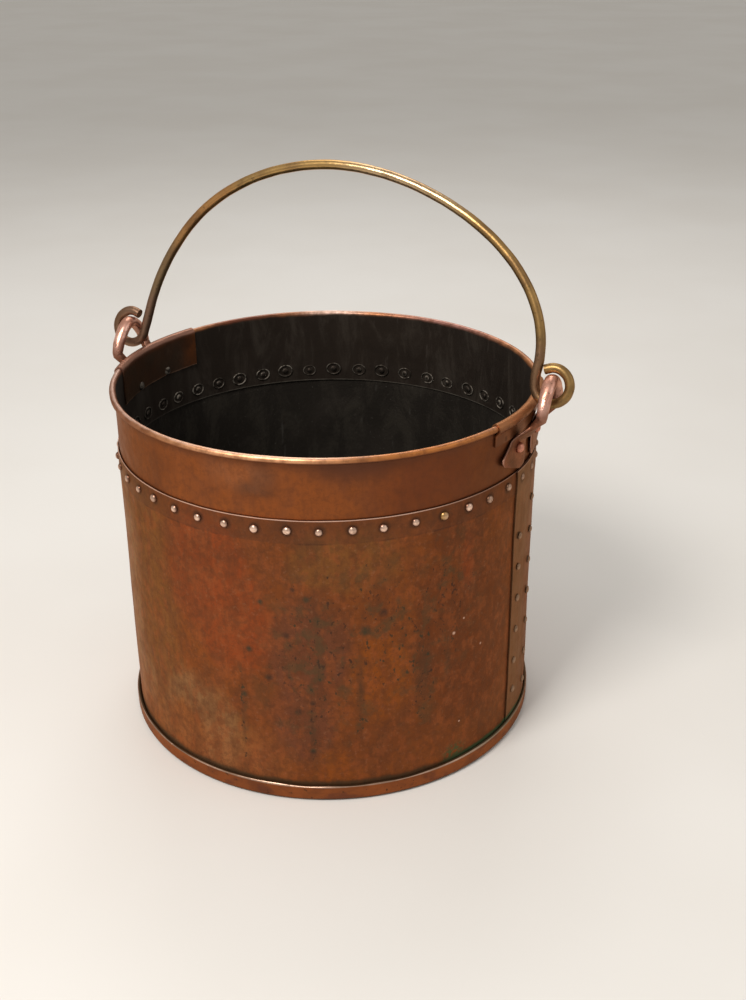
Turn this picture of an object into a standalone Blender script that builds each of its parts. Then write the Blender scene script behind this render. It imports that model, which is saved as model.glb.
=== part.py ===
"""A riveted copper coal bucket with a swing bail, modelled as its separate pieces.

Metres, +Z up. The bucket stands on z = 0 round the Z axis, with its two ears on the X axis.
The bail swings about the X direction through BAIL_AXIS_HEIGHT, and rests leaning towards +Y.
"""

import math

import bmesh
import bpy
from mathutils import Matrix, Vector
from mathutils.geometry import interpolate_bezier

# Sheet copper, the gap between pieces that touch, and how far a cutter runs past what it cuts
SHEET = 0.0012
CLEARANCE = 0.0003
OVERRUN = 0.004

# Body sheet: its outer face, and how far it stands above the collar's row of rivets
BODY_RADIUS = 0.1795
BODY_ABOVE_ROW = 0.0085

# Vertical seam of the body: where the outer sheet starts and ends, and its two rows of rivets
LAP_START = math.radians(-7)
LAP_END = math.radians(9.78)
SEAM_FRONT_AZIMUTH = math.radians(-3.5)
SEAM_BACK_AZIMUTH = math.radians(6.5)
SEAM_FRONT_LOWEST = 0.0415
SEAM_BACK_LOWEST = 0.033
SEAM_FRONT_RIVETS = 6
SEAM_BACK_RIVETS = 7
SEAM_HEAD_RADIUS = 0.0034
SEAM_HEAD_HEIGHT = 0.002
SEAM_TAIL_RADIUS = 0.003
SEAM_TAIL_HEIGHT = 0.0014
SEAM_BITE = 0.0002

# Collar: inside the top of the body, riveted to it, and rolled outward round a wire at the rim
COLLAR_RIVETS = 46
ROW_HEIGHT = 0.248
COLLAR_BELOW_ROW = 0.011
COLLAR_ABOVE_ROW = 0.0594
WIRE_RADIUS = 0.0012
CURL_END = math.radians(-90)
CURL_STEPS = 5
WIRE_SIDES = 4

# Rivets of the collar, each clenched over a rove, a washer on the inside
HEAD_RADIUS = 0.0034
HEAD_HEIGHT = 0.0027
SHANK_RADIUS = 0.002
ROVE_RADIUS = 0.0065
ROVE_THICKNESS = 0.0009
TAIL_RADIUS = 0.0032
TAIL_HEIGHT = 0.0015
RIVET_SIDES = 6
DOME_SHOULDER_SHARE = 0.66
DOME_RISE_SHARE = 0.8

# Base pan: a disc whose edge turns up round the foot of the body and is folded back on itself
PAN_WALL = 0.0035
PAN_HEIGHT = 0.0145
PAN_CORNER = 0.004
PAN_CORNER_STEPS = 2

# Saddle patches, folded over the rim where the ears are fixed
PATCH_HALF_ANGLE = math.radians(19.57)
PATCH_BELOW_EAR_RIVET = 0.004
PATCH_EDGE_SHARE = 0.807
PATCH_TURN_IN = math.radians(-36)
PATCH_STEPS = 4

# Ears: a forged bar bent to an open loop, its ends flattened to fans that are riveted on
EAR_RIVET_HALF_SPACING = 0.0223
EAR_ABOVE_RIM = 0.0213
EAR_WAIST_BELOW_RIM = 0.0034
EAR_STAND_OFF = 0.0185
EAR_LOOP_HALF_WIDTH = 0.0215
EAR_BAR_HALF_WIDTH = 0.0048
EAR_BAR_HALF_THICKNESS = 0.0056
EAR_WAIST_HALF_WIDTH = 0.0044
EAR_WAIST_HALF_THICKNESS = 0.0042
EAR_SIDES = 8
EAR_LOOP_STEPS = 6
BAR_SQUARENESS = 2
LOOP_SHOULDER_SHARE = 0.42
LOOP_DROP_SHARE = 0.64

# Feet of the ears: how far each fan reaches from its rivet, its thickness, its gap over the body
FOOT_THICKNESS = 0.0026
FOOT_TOWARDS_MIDDLE = 0.0143
FOOT_AWAY = 0.0267
FOOT_BELOW_RIVET = 0.0198
FOOT_ABOVE_BODY = 0.0017
FOOT_SQUARENESS = 4
NECK_SHARE = 0.7308

# Edges of a foot from its neck down: outer edge across and up, inner edge across and up, and
# how far both stand off, as shares of the foot's width, its height and the loop's stand-off
FOOT_SHARES = (
    (0.33, 1.0, 0.11, 0.98, 0.67, 0.67),
    (0.43, 0.92, 0.05, 0.85, 0.42, 0.53),
    (0.53, 0.83, 0.01, 0.7, 0.18, 0.32),
    (0.66, 0.72, 0.0, 0.56, 0.0, 0.0),
    (0.85, 0.56, 0.0, 0.23, 0.0, 0.0),
    (1.0, 0.44, 0.05, 0.04, 0.0, 0.0),
    (0.94, 0.3, 0.24, 0.0, 0.0, 0.0),
)

# Rivets of the ears
EAR_HEAD_RADIUS = 0.0048
EAR_HEAD_HEIGHT = 0.0034
EAR_SHANK_RADIUS = 0.0025
EAR_TAIL_RADIUS = 0.0042
EAR_TAIL_HEIGHT = 0.0018
EAR_RIVET_SIDES = 8

# Bail: a round rod bowed over the bucket, with an eye curled at each end through an ear
AXIS_ABOVE_RIM = 0.0036
BAIL_LEAN = math.radians(15)
ROD_RADIUS = 0.004
BOW_INSIDE_EYE = 0.0183
BOW_SPRING_HEIGHT = 0.037
BOW_RISE = 0.132
BOW_FULLNESS = 1.06
BOW_STEPS = 24
EYE_INSIDE_EAR = 0.0002
EYE_HEIGHT = 0.0129
EYE_RADIUS = 0.0142
EYE_TIP = math.radians(122)
EYE_STEPS = 12
LEG_STEPS = 2

# Sizes that follow from the ones above
FACETS = 2 * COLLAR_RIVETS
FACET = 2 * math.pi / FACETS
MERGE_DISTANCE = SEAM_BITE / 8
BODY_FOOT = SHEET + CLEARANCE
BODY_TOP = ROW_HEIGHT + BODY_ABOVE_ROW
RIM_HEIGHT = ROW_HEIGHT + COLLAR_ABOVE_ROW
PAN_RADIUS = BODY_RADIUS + PAN_WALL
SEAM_PITCH = (ROW_HEIGHT - SEAM_BACK_LOWEST) / SEAM_BACK_RIVETS
BODY_INNER = BODY_RADIUS - SHEET
LAP_RADIUS = BODY_RADIUS + SHEET
LAP_FOOT = PAN_HEIGHT + CLEARANCE
COLLAR_OUTER = BODY_INNER - CLEARANCE
COLLAR_INNER = COLLAR_OUTER - SHEET
COLLAR_FOOT = ROW_HEIGHT - COLLAR_BELOW_ROW
CURL_INNER = WIRE_RADIUS + CLEARANCE
BEAD_RADIUS = CURL_INNER + SHEET
BEAD_CENTRE = COLLAR_INNER + BEAD_RADIUS
BEAD_HEIGHT = RIM_HEIGHT - BEAD_RADIUS
HOLE_RADIUS = (SHANK_RADIUS + CLEARANCE) / math.cos(math.pi / RIVET_SIDES)
EAR_HOLE_RADIUS = (EAR_SHANK_RADIUS + CLEARANCE) / math.cos(math.pi / EAR_RIVET_SIDES)
PAN_INNER = BODY_RADIUS + CLEARANCE
EAR_TOP = RIM_HEIGHT + EAR_ABOVE_RIM
EAR_WAIST = RIM_HEIGHT - EAR_WAIST_BELOW_RIM
EAR_REACH = COLLAR_OUTER + EAR_STAND_OFF
FOOT_END = BODY_TOP + FOOT_ABOVE_BODY
EAR_RIVET_HEIGHT = FOOT_END + FOOT_BELOW_RIVET
EAR_RIVET_AZIMUTH = math.asin(EAR_RIVET_HALF_SPACING / COLLAR_OUTER)
FOOT_WIDTH = FOOT_TOWARDS_MIDDLE + FOOT_AWAY
FOOT_HEIGHT = FOOT_BELOW_RIVET + NECK_SHARE * (EAR_WAIST - EAR_RIVET_HEIGHT)
PATCH_OUTER_FACE = COLLAR_OUTER + CLEARANCE + SHEET
PATCH_INNER_FACE = COLLAR_INNER - CLEARANCE - SHEET
PATCH_INNER_EDGE = EAR_RIVET_HEIGHT - PATCH_BELOW_EAR_RIVET
PATCH_OUTER_EDGE = FOOT_END + FOOT_HEIGHT * PATCH_EDGE_SHARE
BAIL_AXIS_HEIGHT = RIM_HEIGHT + AXIS_ABOVE_RIM
EYE_REACH = EAR_REACH - EYE_INSIDE_EAR
BOW_HALF_WIDTH = EYE_REACH - BOW_INSIDE_EYE


def clear_scene():
    for item in list(bpy.data.objects):
        bpy.data.objects.remove(item, do_unlink=True)


def material(name, colour, roughness, metallic):
    made = bpy.data.materials.new(name)
    made.use_nodes = True
    shader = made.node_tree.nodes["Principled BSDF"]
    shader.inputs["Base Color"].default_value = (*colour, 1)
    shader.inputs["Roughness"].default_value = roughness
    shader.inputs["Metallic"].default_value = metallic
    made.diffuse_color = (*colour, 1)
    return made


def add_object(name, mesh, finish, parent=None):
    """Puts a mesh in the scene under a name, with its finish."""
    made = bpy.data.objects.new(name, mesh)
    if not mesh.materials:
        mesh.materials.append(finish)
    bpy.context.scene.collection.objects.link(made)
    made.parent = parent
    return made


def finished_mesh(name, shape, sharp_angle=math.radians(35)):
    """Turns a bmesh into a mesh with its faces pointing out and its round parts smooth."""
    bmesh.ops.recalc_face_normals(shape, faces=shape.faces)
    mesh = bpy.data.meshes.new(name)
    shape.to_mesh(mesh)
    shape.free()
    mesh.shade_smooth()
    mesh.set_sharp_from_angle(angle=sharp_angle)
    return mesh


def as_helper(helper):
    """A cutter or a guide: drawn as wire, and left out of the renders."""
    helper.hide_render = True
    helper.display_type = "WIRE"
    return helper


def add_skin(shape, rings, closed):
    """Skins a list of rings of points. An open skin gets a flat cap at each end."""
    made = [[shape.verts.new(point) for point in ring] for ring in rings]
    joints = list(zip(made, made[1:] + made[:1])) if closed else list(zip(made, made[1:]))
    for one, other in joints:
        for index in range(len(one)):
            following = (index + 1) % len(one)
            shape.faces.new((one[index], one[following], other[following], other[index]))
    if not closed:
        shape.faces.new(made[0])
        shape.faces.new(list(reversed(made[-1])))


def turned_rings(outline, sides, phase):
    """Rings of an outline of (radius, height) points carried round the Z axis."""
    rings = []
    for side in range(sides):
        angle = (side + phase) * 2 * math.pi / sides
        rings.append([Vector((r * math.cos(angle), r * math.sin(angle), z)) for r, z in outline])
    return rings


def turned(outline, sides, phase=0.5):
    """A closed outline turned about the Z axis. Points on the axis become poles."""
    shape = bmesh.new()
    add_skin(shape, turned_rings(outline, sides, phase), closed=True)
    bmesh.ops.remove_doubles(shape, verts=shape.verts, dist=MERGE_DISTANCE)
    loose = [edge for edge in shape.edges if not edge.link_faces]
    bmesh.ops.delete(shape, geom=loose, context="EDGES")
    return shape


def on_wall(radius, azimuth):
    """Distance from the axis to the flat facet of a wall whose corners lie at this radius."""
    from_middle = (azimuth + FACET / 2) % FACET - FACET / 2
    return radius * math.cos(FACET / 2) / math.cos(from_middle)


def wall_point(radius, azimuth, height):
    reach = on_wall(radius, azimuth)
    return Vector((reach * math.cos(azimuth), reach * math.sin(azimuth), height))


def wall_frame(radius, azimuth, height):
    """A frame on the wall whose Z points straight out of it and whose Y points up."""
    out = Vector((math.cos(azimuth), math.sin(azimuth), 0))
    up = Vector((0, 0, 1))
    along = up.cross(out)
    turn = Matrix((along, up, out)).transposed().to_4x4()
    return Matrix.Translation(wall_point(radius, azimuth, height)) @ turn


def arc(centre, radius, start, end, steps):
    """Points (radius, height) along an arc, both ends included."""
    points = []
    for step in range(steps + 1):
        angle = start + (end - start) * step / steps
        points.append((centre[0] + radius * math.cos(angle), centre[1] + radius * math.sin(angle)))
    return points


def corner_azimuths(start, end):
    """The two ends of a stretch of wall, and the facet corners between them."""
    first = math.ceil(start / FACET - 0.5)
    last = math.floor(end / FACET - 0.5)
    corners = [(index + 0.5) * FACET for index in range(first, last + 1)]
    inside = [angle for angle in corners if start + FACET / 8 < angle < end - FACET / 8]
    return [start, *inside, end]


def wrapped_sheet(outline, start, end):
    """A sheet of this (radius, height) outline, wrapped along part of the faceted wall."""
    shape = bmesh.new()
    rings = []
    for azimuth in corner_azimuths(start, end):
        rings.append([wall_point(radius, azimuth, height) for radius, height in outline])
    add_skin(shape, rings, closed=False)
    return shape


def rivet_outline(head, shank, grip, rove, tail):
    """Outline of a rivet along its own axis. Its head sits at zero and its grip runs down.

    Each of head, rove and tail is (radius, height). The rove is dished towards the tail.
    """
    under_rove = grip + rove[1]
    return [
        (0, head[1]),
        (head[0] * DOME_SHOULDER_SHARE, head[1] * DOME_RISE_SHARE),
        (head[0], 0),
        (shank, 0),
        (shank, -grip),
        (rove[0], -grip),
        (tail[0], -under_rove),
        (0, -under_rove - tail[1]),
    ]


def prism(radius, top, bottom, sides):
    return turned([(0, top), (radius, top), (radius, bottom), (0, bottom)], sides, phase=0)


def gathered(name, placed):
    """One mesh made of many shapes, each moved to its own frame."""
    whole = bmesh.new()
    for shape, frame in placed:
        bmesh.ops.transform(shape, matrix=frame, verts=shape.verts)
        scrap = bpy.data.meshes.new("scrap")
        bmesh.ops.recalc_face_normals(shape, faces=shape.faces)
        shape.to_mesh(scrap)
        shape.free()
        whole.from_mesh(scrap)
        bpy.data.meshes.remove(scrap)
    mesh = bpy.data.meshes.new(name)
    whole.to_mesh(mesh)
    whole.free()
    return mesh


def boolean(target, helper, operation):
    modifier = target.modifiers.new(helper.name, "BOOLEAN")
    modifier.object = helper
    modifier.operation = operation
    modifier.solver = "EXACT"


def row_azimuth(number):
    """Azimuth of a collar rivet, counted from 1, so that an ear falls midway between two."""
    return (2 * number - 1) * FACET


def in_lap(azimuth):
    return LAP_START < azimuth < LAP_END or LAP_START < azimuth - 2 * math.pi < LAP_END


def make_body(finish, row_holes):
    """The body sheet, its ends lapped and riveted together in one upright seam."""
    outline = [
        (BODY_RADIUS, BODY_FOOT),
        (BODY_RADIUS, BODY_TOP),
        (BODY_INNER, BODY_TOP),
        (BODY_INNER, BODY_FOOT),
    ]
    body = add_object("body_shell", finished_mesh("body_shell", turned(outline, FACETS)), finish)
    under_lap = BODY_RADIUS - SHEET / 2
    lap_outline = [
        (LAP_RADIUS, LAP_FOOT),
        (LAP_RADIUS, BODY_TOP),
        (under_lap, BODY_TOP),
        (under_lap, LAP_FOOT),
    ]
    lap_mesh = finished_mesh("lap", wrapped_sheet(lap_outline, LAP_START, LAP_END))
    boolean(body, as_helper(add_object("lap", lap_mesh, finish)), "UNION")
    boolean(body, as_helper(add_object("seam_rivets", seam_rivet_mesh(), finish)), "UNION")
    boolean(body, row_holes, "DIFFERENCE")
    return body


def seam_rivet_mesh():
    """The rivets of the upright seam, in two rows that are staggered in height."""
    rows = [
        (SEAM_FRONT_AZIMUTH, SEAM_FRONT_LOWEST, SEAM_FRONT_RIVETS),
        (SEAM_BACK_AZIMUTH, SEAM_BACK_LOWEST, SEAM_BACK_RIVETS),
    ]
    grip = LAP_RADIUS - BODY_INNER
    outline = [
        (0, SEAM_HEAD_HEIGHT),
        (SEAM_HEAD_RADIUS * DOME_SHOULDER_SHARE, SEAM_HEAD_HEIGHT * DOME_RISE_SHARE),
        (SEAM_HEAD_RADIUS, -SEAM_BITE),
        (SEAM_TAIL_RADIUS, SEAM_BITE - grip),
        (0, -grip - SEAM_TAIL_HEIGHT),
    ]
    placed = []
    for azimuth, lowest, count in rows:
        for index in range(count):
            frame = wall_frame(LAP_RADIUS, azimuth, lowest + index * SEAM_PITCH)
            placed.append((turned(outline, RIVET_SIDES), frame))
    return gathered("seam_rivets", placed)


def make_collar(finish, row_holes, ear_holes):
    """The collar, with its top edge rolled outward round the wire."""
    bead = (BEAD_CENTRE, BEAD_HEIGHT)
    outer_curl = arc(bead, BEAD_RADIUS, math.pi, CURL_END, CURL_STEPS)
    inner_curl = arc(bead, CURL_INNER, CURL_END, math.pi, CURL_STEPS)
    outline = [(COLLAR_INNER, COLLAR_FOOT), *outer_curl, *inner_curl, (COLLAR_OUTER, COLLAR_FOOT)]
    collar = add_object("collar", finished_mesh("collar", turned(outline, FACETS)), finish)
    boolean(collar, row_holes, "DIFFERENCE")
    boolean(collar, ear_holes, "DIFFERENCE")
    return collar


def make_wire(finish):
    """The iron wire inside the rolled rim, butted into a ring."""
    section = arc((BEAD_CENTRE, BEAD_HEIGHT), WIRE_RADIUS, 0, 2 * math.pi, WIRE_SIDES)[:-1]
    return add_object("rim_wire", finished_mesh("rim_wire", turned(section, FACETS)), finish)


def make_pan(finish):
    """The base disc, turned up round the foot of the body and hemmed."""
    hem = (PAN_RADIUS - PAN_INNER) / 2
    corner = (PAN_RADIUS - PAN_CORNER, PAN_CORNER)
    top = (PAN_INNER + hem, PAN_HEIGHT - hem)
    outline = [
        (0, 0),
        *arc(corner, PAN_CORNER, -math.pi / 2, 0, PAN_CORNER_STEPS),
        *arc(top, hem, 0, math.pi, PAN_CORNER_STEPS),
        (PAN_INNER, SHEET),
        (0, SHEET),
    ]
    return add_object("base_pan", finished_mesh("base_pan", turned(outline, FACETS)), finish)


def make_patch(name, middle, finish, ear_holes):
    """A saddle of sheet folded over the rim, with a longer flange inside than outside."""
    bead = (BEAD_CENTRE, BEAD_HEIGHT)
    inside = BEAD_RADIUS + CLEARANCE
    outside = inside + SHEET
    fold_out = arc(bead, outside, math.pi, PATCH_TURN_IN, PATCH_STEPS)
    fold_in = arc(bead, inside, PATCH_TURN_IN, math.pi, PATCH_STEPS)
    settled = 2 * fold_out[-1][1] - BEAD_HEIGHT - SHEET
    outline = [
        (PATCH_INNER_FACE, PATCH_INNER_EDGE),
        *fold_out,
        (PATCH_OUTER_FACE, settled),
        (PATCH_OUTER_FACE, PATCH_OUTER_EDGE),
        (PATCH_OUTER_FACE - SHEET, PATCH_OUTER_EDGE),
        (PATCH_OUTER_FACE - SHEET, settled),
        *fold_in,
        (PATCH_INNER_FACE + SHEET, PATCH_INNER_EDGE),
    ]
    shape = wrapped_sheet(outline, middle - PATCH_HALF_ANGLE, middle + PATCH_HALF_ANGLE)
    patch = add_object(name, finished_mesh(name, shape), finish)
    boolean(patch, ear_holes, "DIFFERENCE")
    return patch


def loop_stations():
    """Half of an ear's loop, from its top to its waist, as the bar's outer and inner edges.

    The ear's own frame has X out from the bucket's axis, Y along the wall and Z up.
    """
    shoulder = EAR_LOOP_HALF_WIDTH * LOOP_SHOULDER_SHARE
    drop = (EAR_TOP - EAR_WAIST) * LOOP_DROP_SHARE
    top = Vector((EAR_REACH, 0, EAR_TOP))
    top_handle = Vector((EAR_REACH, shoulder, EAR_TOP))
    waist_handle = Vector((EAR_REACH, EAR_LOOP_HALF_WIDTH, EAR_TOP - drop))
    waist = Vector((EAR_REACH, EAR_LOOP_HALF_WIDTH, EAR_WAIST))
    centres = interpolate_bezier(top, top_handle, waist_handle, waist, EAR_LOOP_STEPS + 1)
    stations = []
    for index, centre in enumerate(centres):
        ahead = centres[min(index + 1, EAR_LOOP_STEPS)]
        behind = centres[max(index - 1, 0)]
        along = (ahead - behind).normalized()
        if index in (0, EAR_LOOP_STEPS):
            along = Vector((0, 1, 0)) if index == 0 else Vector((0, 0, -1))
        drawn = (index / EAR_LOOP_STEPS) ** 2
        half_width = EAR_BAR_HALF_WIDTH + (EAR_WAIST_HALF_WIDTH - EAR_BAR_HALF_WIDTH) * drawn
        outward = along.cross(Vector((-1, 0, 0))) * half_width
        spread = EAR_BAR_HALF_THICKNESS - EAR_WAIST_HALF_THICKNESS
        half_thickness = EAR_BAR_HALF_THICKNESS - spread * drawn
        stations.append((centre + outward, centre - outward, half_thickness, BAR_SQUARENESS))
    return stations


def foot_stations():
    """A foot's stations: a flat blade square to the wall at its rivet, rising to the neck."""
    out = Vector((math.cos(EAR_RIVET_AZIMUTH), math.sin(EAR_RIVET_AZIMUTH), 0))
    along = Vector((-out.y, out.x, 0))
    seat = COLLAR_OUTER + CLEARANCE + FOOT_THICKNESS / 2
    stand_off = EAR_REACH - seat

    def point(across_share, up_share, lift_share):
        across = FOOT_WIDTH * across_share - FOOT_TOWARDS_MIDDLE
        level = out * (seat + stand_off * lift_share) + along * across
        return level + Vector((0, 0, FOOT_END + FOOT_HEIGHT * up_share))

    stations = []
    for outer_across, outer_up, inner_across, inner_up, outer_lift, inner_lift in FOOT_SHARES:
        outer = point(outer_across, outer_up, outer_lift)
        inner = point(inner_across, inner_up, inner_lift)
        drawn = (outer_lift + inner_lift) / 2
        half = FOOT_THICKNESS / 2 + (EAR_WAIST_HALF_THICKNESS - FOOT_THICKNESS / 2) * drawn**2
        stations.append((outer, inner, half, FOOT_SQUARENESS))
    return stations


def ear_rings():
    """Rings round the ear's bar, from the end of one foot over the loop to the other's end."""
    loop = loop_stations()
    foot = foot_stations()
    waist, neck = loop[-1], foot[0]
    bend = (
        waist[0].lerp(neck[0], 0.5),
        waist[1].lerp(neck[1], 0.5),
        (waist[2] + neck[2]) / 2,
        (waist[3] + neck[3]) / 2,
    )
    half = [*loop, bend, *foot]
    mirror = Matrix.Scale(-1, 3, Vector((0, 1, 0)))
    other = [(mirror @ outer, mirror @ inner, *rest) for outer, inner, *rest in half[:0:-1]]
    stations = other + half
    centres = [(station[0] + station[1]) / 2 for station in stations]
    rings = []
    for index, (outer, inner, half_thickness, squareness) in enumerate(stations):
        ahead = centres[min(index + 1, len(centres) - 1)]
        behind = centres[max(index - 1, 0)]
        across = (outer - inner) / 2
        through = across.cross(ahead - behind).normalized() * half_thickness
        ring = []
        for side in range(EAR_SIDES):
            angle = 2 * math.pi * (side + 0.5) / EAR_SIDES
            wide = rounded_square(math.cos(angle), squareness)
            thick = rounded_square(math.sin(angle), squareness)
            ring.append(centres[index] + across * wide + through * thick)
        rings.append(ring)
    return rings


def rounded_square(value, squareness):
    """One coordinate of a section that is a circle at 2 and nears a square above it."""
    return math.copysign(abs(value) ** (2 / squareness), value)


def make_ear(name, middle, finish, ear_holes):
    """The forged ear: an open loop for the bail's eye, on two fan-shaped feet."""
    shape = bmesh.new()
    add_skin(shape, ear_rings(), closed=False)
    bmesh.ops.rotate(shape, verts=shape.verts, matrix=Matrix.Rotation(middle, 3, "Z"))
    ear = add_object(name, finished_mesh(name, shape), finish)
    boolean(ear, ear_holes, "DIFFERENCE")
    return ear


def make_row_rivets(finish):
    """The collar's rivets: domed heads outside, and a rove under each clenched tail inside."""
    seat_gap = 2 * CLEARANCE
    meshes = {}
    for lapped in (False, True):
        outer_face = LAP_RADIUS if lapped else BODY_RADIUS
        grip = outer_face - COLLAR_INNER + seat_gap
        outline = rivet_outline(
            (HEAD_RADIUS, HEAD_HEIGHT),
            SHANK_RADIUS,
            grip,
            (ROVE_RADIUS, ROVE_THICKNESS),
            (TAIL_RADIUS, TAIL_HEIGHT),
        )
        meshes[lapped] = finished_mesh("collar_rivet", turned(outline, RIVET_SIDES, phase=0))
    for number in range(1, COLLAR_RIVETS + 1):
        azimuth = row_azimuth(number)
        lapped = in_lap(azimuth)
        seat = (LAP_RADIUS if lapped else BODY_RADIUS) + CLEARANCE
        rivet = add_object(f"collar_rivet_{number:02d}", meshes[lapped], finish)
        rivet.matrix_world = wall_frame(seat, azimuth, ROW_HEIGHT)


def make_ear_rivets(sides_of_bucket, finish):
    """One rivet through each foot of the ears, the collar and the patch's inner flange."""
    head_seat = COLLAR_OUTER + CLEARANCE + FOOT_THICKNESS + CLEARANCE
    grip = head_seat - PATCH_INNER_FACE + CLEARANCE
    outline = rivet_outline(
        (EAR_HEAD_RADIUS, EAR_HEAD_HEIGHT),
        EAR_SHANK_RADIUS,
        grip,
        (EAR_TAIL_RADIUS, 0),
        (EAR_TAIL_RADIUS, EAR_TAIL_HEIGHT),
    )
    mesh = finished_mesh("ear_rivet", turned(outline, EAR_RIVET_SIDES, phase=0))
    for side, middle in sides_of_bucket:
        for place, turn in (("front", -1), ("back", 1)):
            towards_back = turn if middle == 0 else -turn
            azimuth = middle + towards_back * EAR_RIVET_AZIMUTH
            rivet = add_object(f"ear_rivet_{side}_{place}", mesh, finish)
            rivet.matrix_world = wall_frame(head_seat, azimuth, EAR_RIVET_HEIGHT)


def row_hole_mesh():
    top = LAP_RADIUS - BODY_RADIUS + OVERRUN
    bottom = COLLAR_INNER - BODY_RADIUS - OVERRUN
    placed = []
    for number in range(1, COLLAR_RIVETS + 1):
        frame = wall_frame(BODY_RADIUS, row_azimuth(number), ROW_HEIGHT)
        placed.append((prism(HOLE_RADIUS, top, bottom, RIVET_SIDES), frame))
    return gathered("row_holes", placed)


def ear_hole_mesh(sides_of_bucket):
    top = FOOT_THICKNESS + OVERRUN
    bottom = PATCH_INNER_FACE - COLLAR_OUTER - OVERRUN
    placed = []
    for _, middle in sides_of_bucket:
        for turn in (-1, 1):
            frame = wall_frame(COLLAR_OUTER, middle + turn * EAR_RIVET_AZIMUTH, EAR_RIVET_HEIGHT)
            placed.append((prism(EAR_HOLE_RADIUS, top, bottom, EAR_RIVET_SIDES), frame))
    return gathered("ear_holes", placed)


def bail_points():
    """Centre line of the bail in its own plane, as (across, up) from the middle of its axis."""
    eye = (EYE_REACH, EYE_HEIGHT)
    right = list(reversed(arc(eye, EYE_RADIUS, math.pi, 2 * math.pi + EYE_TIP, EYE_STEPS)))
    inner_side = right[-1]
    for step in range(1, LEG_STEPS + 1):
        share = step / (LEG_STEPS + 1)
        across = inner_side[0] + (BOW_HALF_WIDTH - inner_side[0]) * share
        right.append((across, inner_side[1] + (BOW_SPRING_HEIGHT - inner_side[1]) * share))
    bow = []
    for step in range(BOW_STEPS + 1):
        angle = math.pi * step / BOW_STEPS
        across = math.copysign(abs(math.cos(angle)) ** BOW_FULLNESS, math.cos(angle))
        risen = abs(math.sin(angle)) ** BOW_FULLNESS
        bow.append((BOW_HALF_WIDTH * across, BOW_SPRING_HEIGHT + BOW_RISE * risen))
    left = [(-across, up) for across, up in reversed(right)]
    return right + bow + left


def make_bail(finish):
    """The bail rod, parented to an empty on the axis through both ears."""
    axis = bpy.data.objects.new("bail_axis", None)
    bpy.context.scene.collection.objects.link(axis)
    axis.location = (0, 0, BAIL_AXIS_HEIGHT)
    axis.rotation_euler = (-BAIL_LEAN, 0, 0)
    curve = bpy.data.curves.new("bail_handle", "CURVE")
    curve.dimensions = "3D"
    curve.bevel_depth = ROD_RADIUS
    curve.bevel_resolution = 2
    curve.use_fill_caps = True
    curve.materials.append(finish)
    points = bail_points()
    spline = curve.splines.new("POLY")
    spline.points.add(len(points) - 1)
    spline.use_smooth = True
    for point, (across, up) in zip(spline.points, points):
        point.co = (across, 0, up, 1)
    bail = bpy.data.objects.new("bail_handle", curve)
    bpy.context.scene.collection.objects.link(bail)
    bail.parent = axis
    return bail


def main():
    clear_scene()
    copper_body = material("copper_body", (0.42, 0.17, 0.07), 0.42, 0.9)
    copper_collar = material("copper_collar", (0.4, 0.18, 0.08), 0.36, 0.9)
    copper_base = material("copper_base", (0.45, 0.2, 0.08), 0.4, 0.9)
    copper_patch = material("copper_patch", (0.36, 0.17, 0.09), 0.42, 0.9)
    copper_forged = material("copper_forged", (0.7, 0.34, 0.25), 0.34, 0.95)
    copper_rivet = material("copper_rivet", (0.6, 0.31, 0.22), 0.38, 0.95)
    iron_wire = material("iron_wire", (0.18, 0.15, 0.13), 0.6, 0.8)
    brass_rod = material("brass_rod", (0.4, 0.29, 0.13), 0.38, 0.9)

    sides_of_bucket = (("right", 0), ("left", math.pi))
    row_holes = as_helper(add_object("row_holes", row_hole_mesh(), copper_rivet))
    ear_holes = as_helper(add_object("ear_holes", ear_hole_mesh(sides_of_bucket), copper_rivet))
    make_pan(copper_base)
    make_body(copper_body, row_holes)
    make_collar(copper_collar, row_holes, ear_holes)
    make_wire(iron_wire)
    for side, middle in sides_of_bucket:
        make_patch(f"rim_patch_{side}", middle, copper_patch, ear_holes)
        make_ear(f"ear_{side}", middle, copper_forged, ear_holes)
    make_row_rivets(copper_rivet)
    make_ear_rivets(sides_of_bucket, copper_rivet)
    make_bail(brass_rod)


main()
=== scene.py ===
"""The looks of a riveted copper coal bucket with a swing bail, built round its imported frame.

Metres, +Z up. The bucket stands on z = 0 round the Z axis, with its ears on the X axis and the
upright seam at +X. Sections follow the order in which such a bucket is put together.
"""
import math

import bmesh
import bpy
from mathutils import Matrix, Vector, noise


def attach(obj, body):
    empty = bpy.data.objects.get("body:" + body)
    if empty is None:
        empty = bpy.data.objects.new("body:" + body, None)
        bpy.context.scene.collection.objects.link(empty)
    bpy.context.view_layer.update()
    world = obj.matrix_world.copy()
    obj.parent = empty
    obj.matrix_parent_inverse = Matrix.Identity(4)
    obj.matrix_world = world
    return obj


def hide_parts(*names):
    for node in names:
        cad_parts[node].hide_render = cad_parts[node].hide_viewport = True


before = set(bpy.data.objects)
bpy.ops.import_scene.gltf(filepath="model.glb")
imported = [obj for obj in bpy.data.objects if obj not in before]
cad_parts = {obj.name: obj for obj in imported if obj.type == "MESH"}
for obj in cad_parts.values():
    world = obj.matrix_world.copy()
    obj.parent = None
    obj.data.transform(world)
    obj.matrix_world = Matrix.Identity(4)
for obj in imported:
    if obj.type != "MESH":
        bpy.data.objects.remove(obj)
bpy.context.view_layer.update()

# Base pan
# A copper disc, raised by hammer into a low rim round the foot of the body and hemmed there.
# The hem's shoulder is rubbed bright, with a painted highlight along it, and soot and coal dust
# cover the floor inside.
SHEET = 0.0012
BODY_RADIUS = 0.1795
PAN_RADIUS = 0.183
PAN_HEIGHT = 0.0145
PAN_CORNER = 0.004
PAN_INNER = BODY_RADIUS + 0.0003
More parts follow.
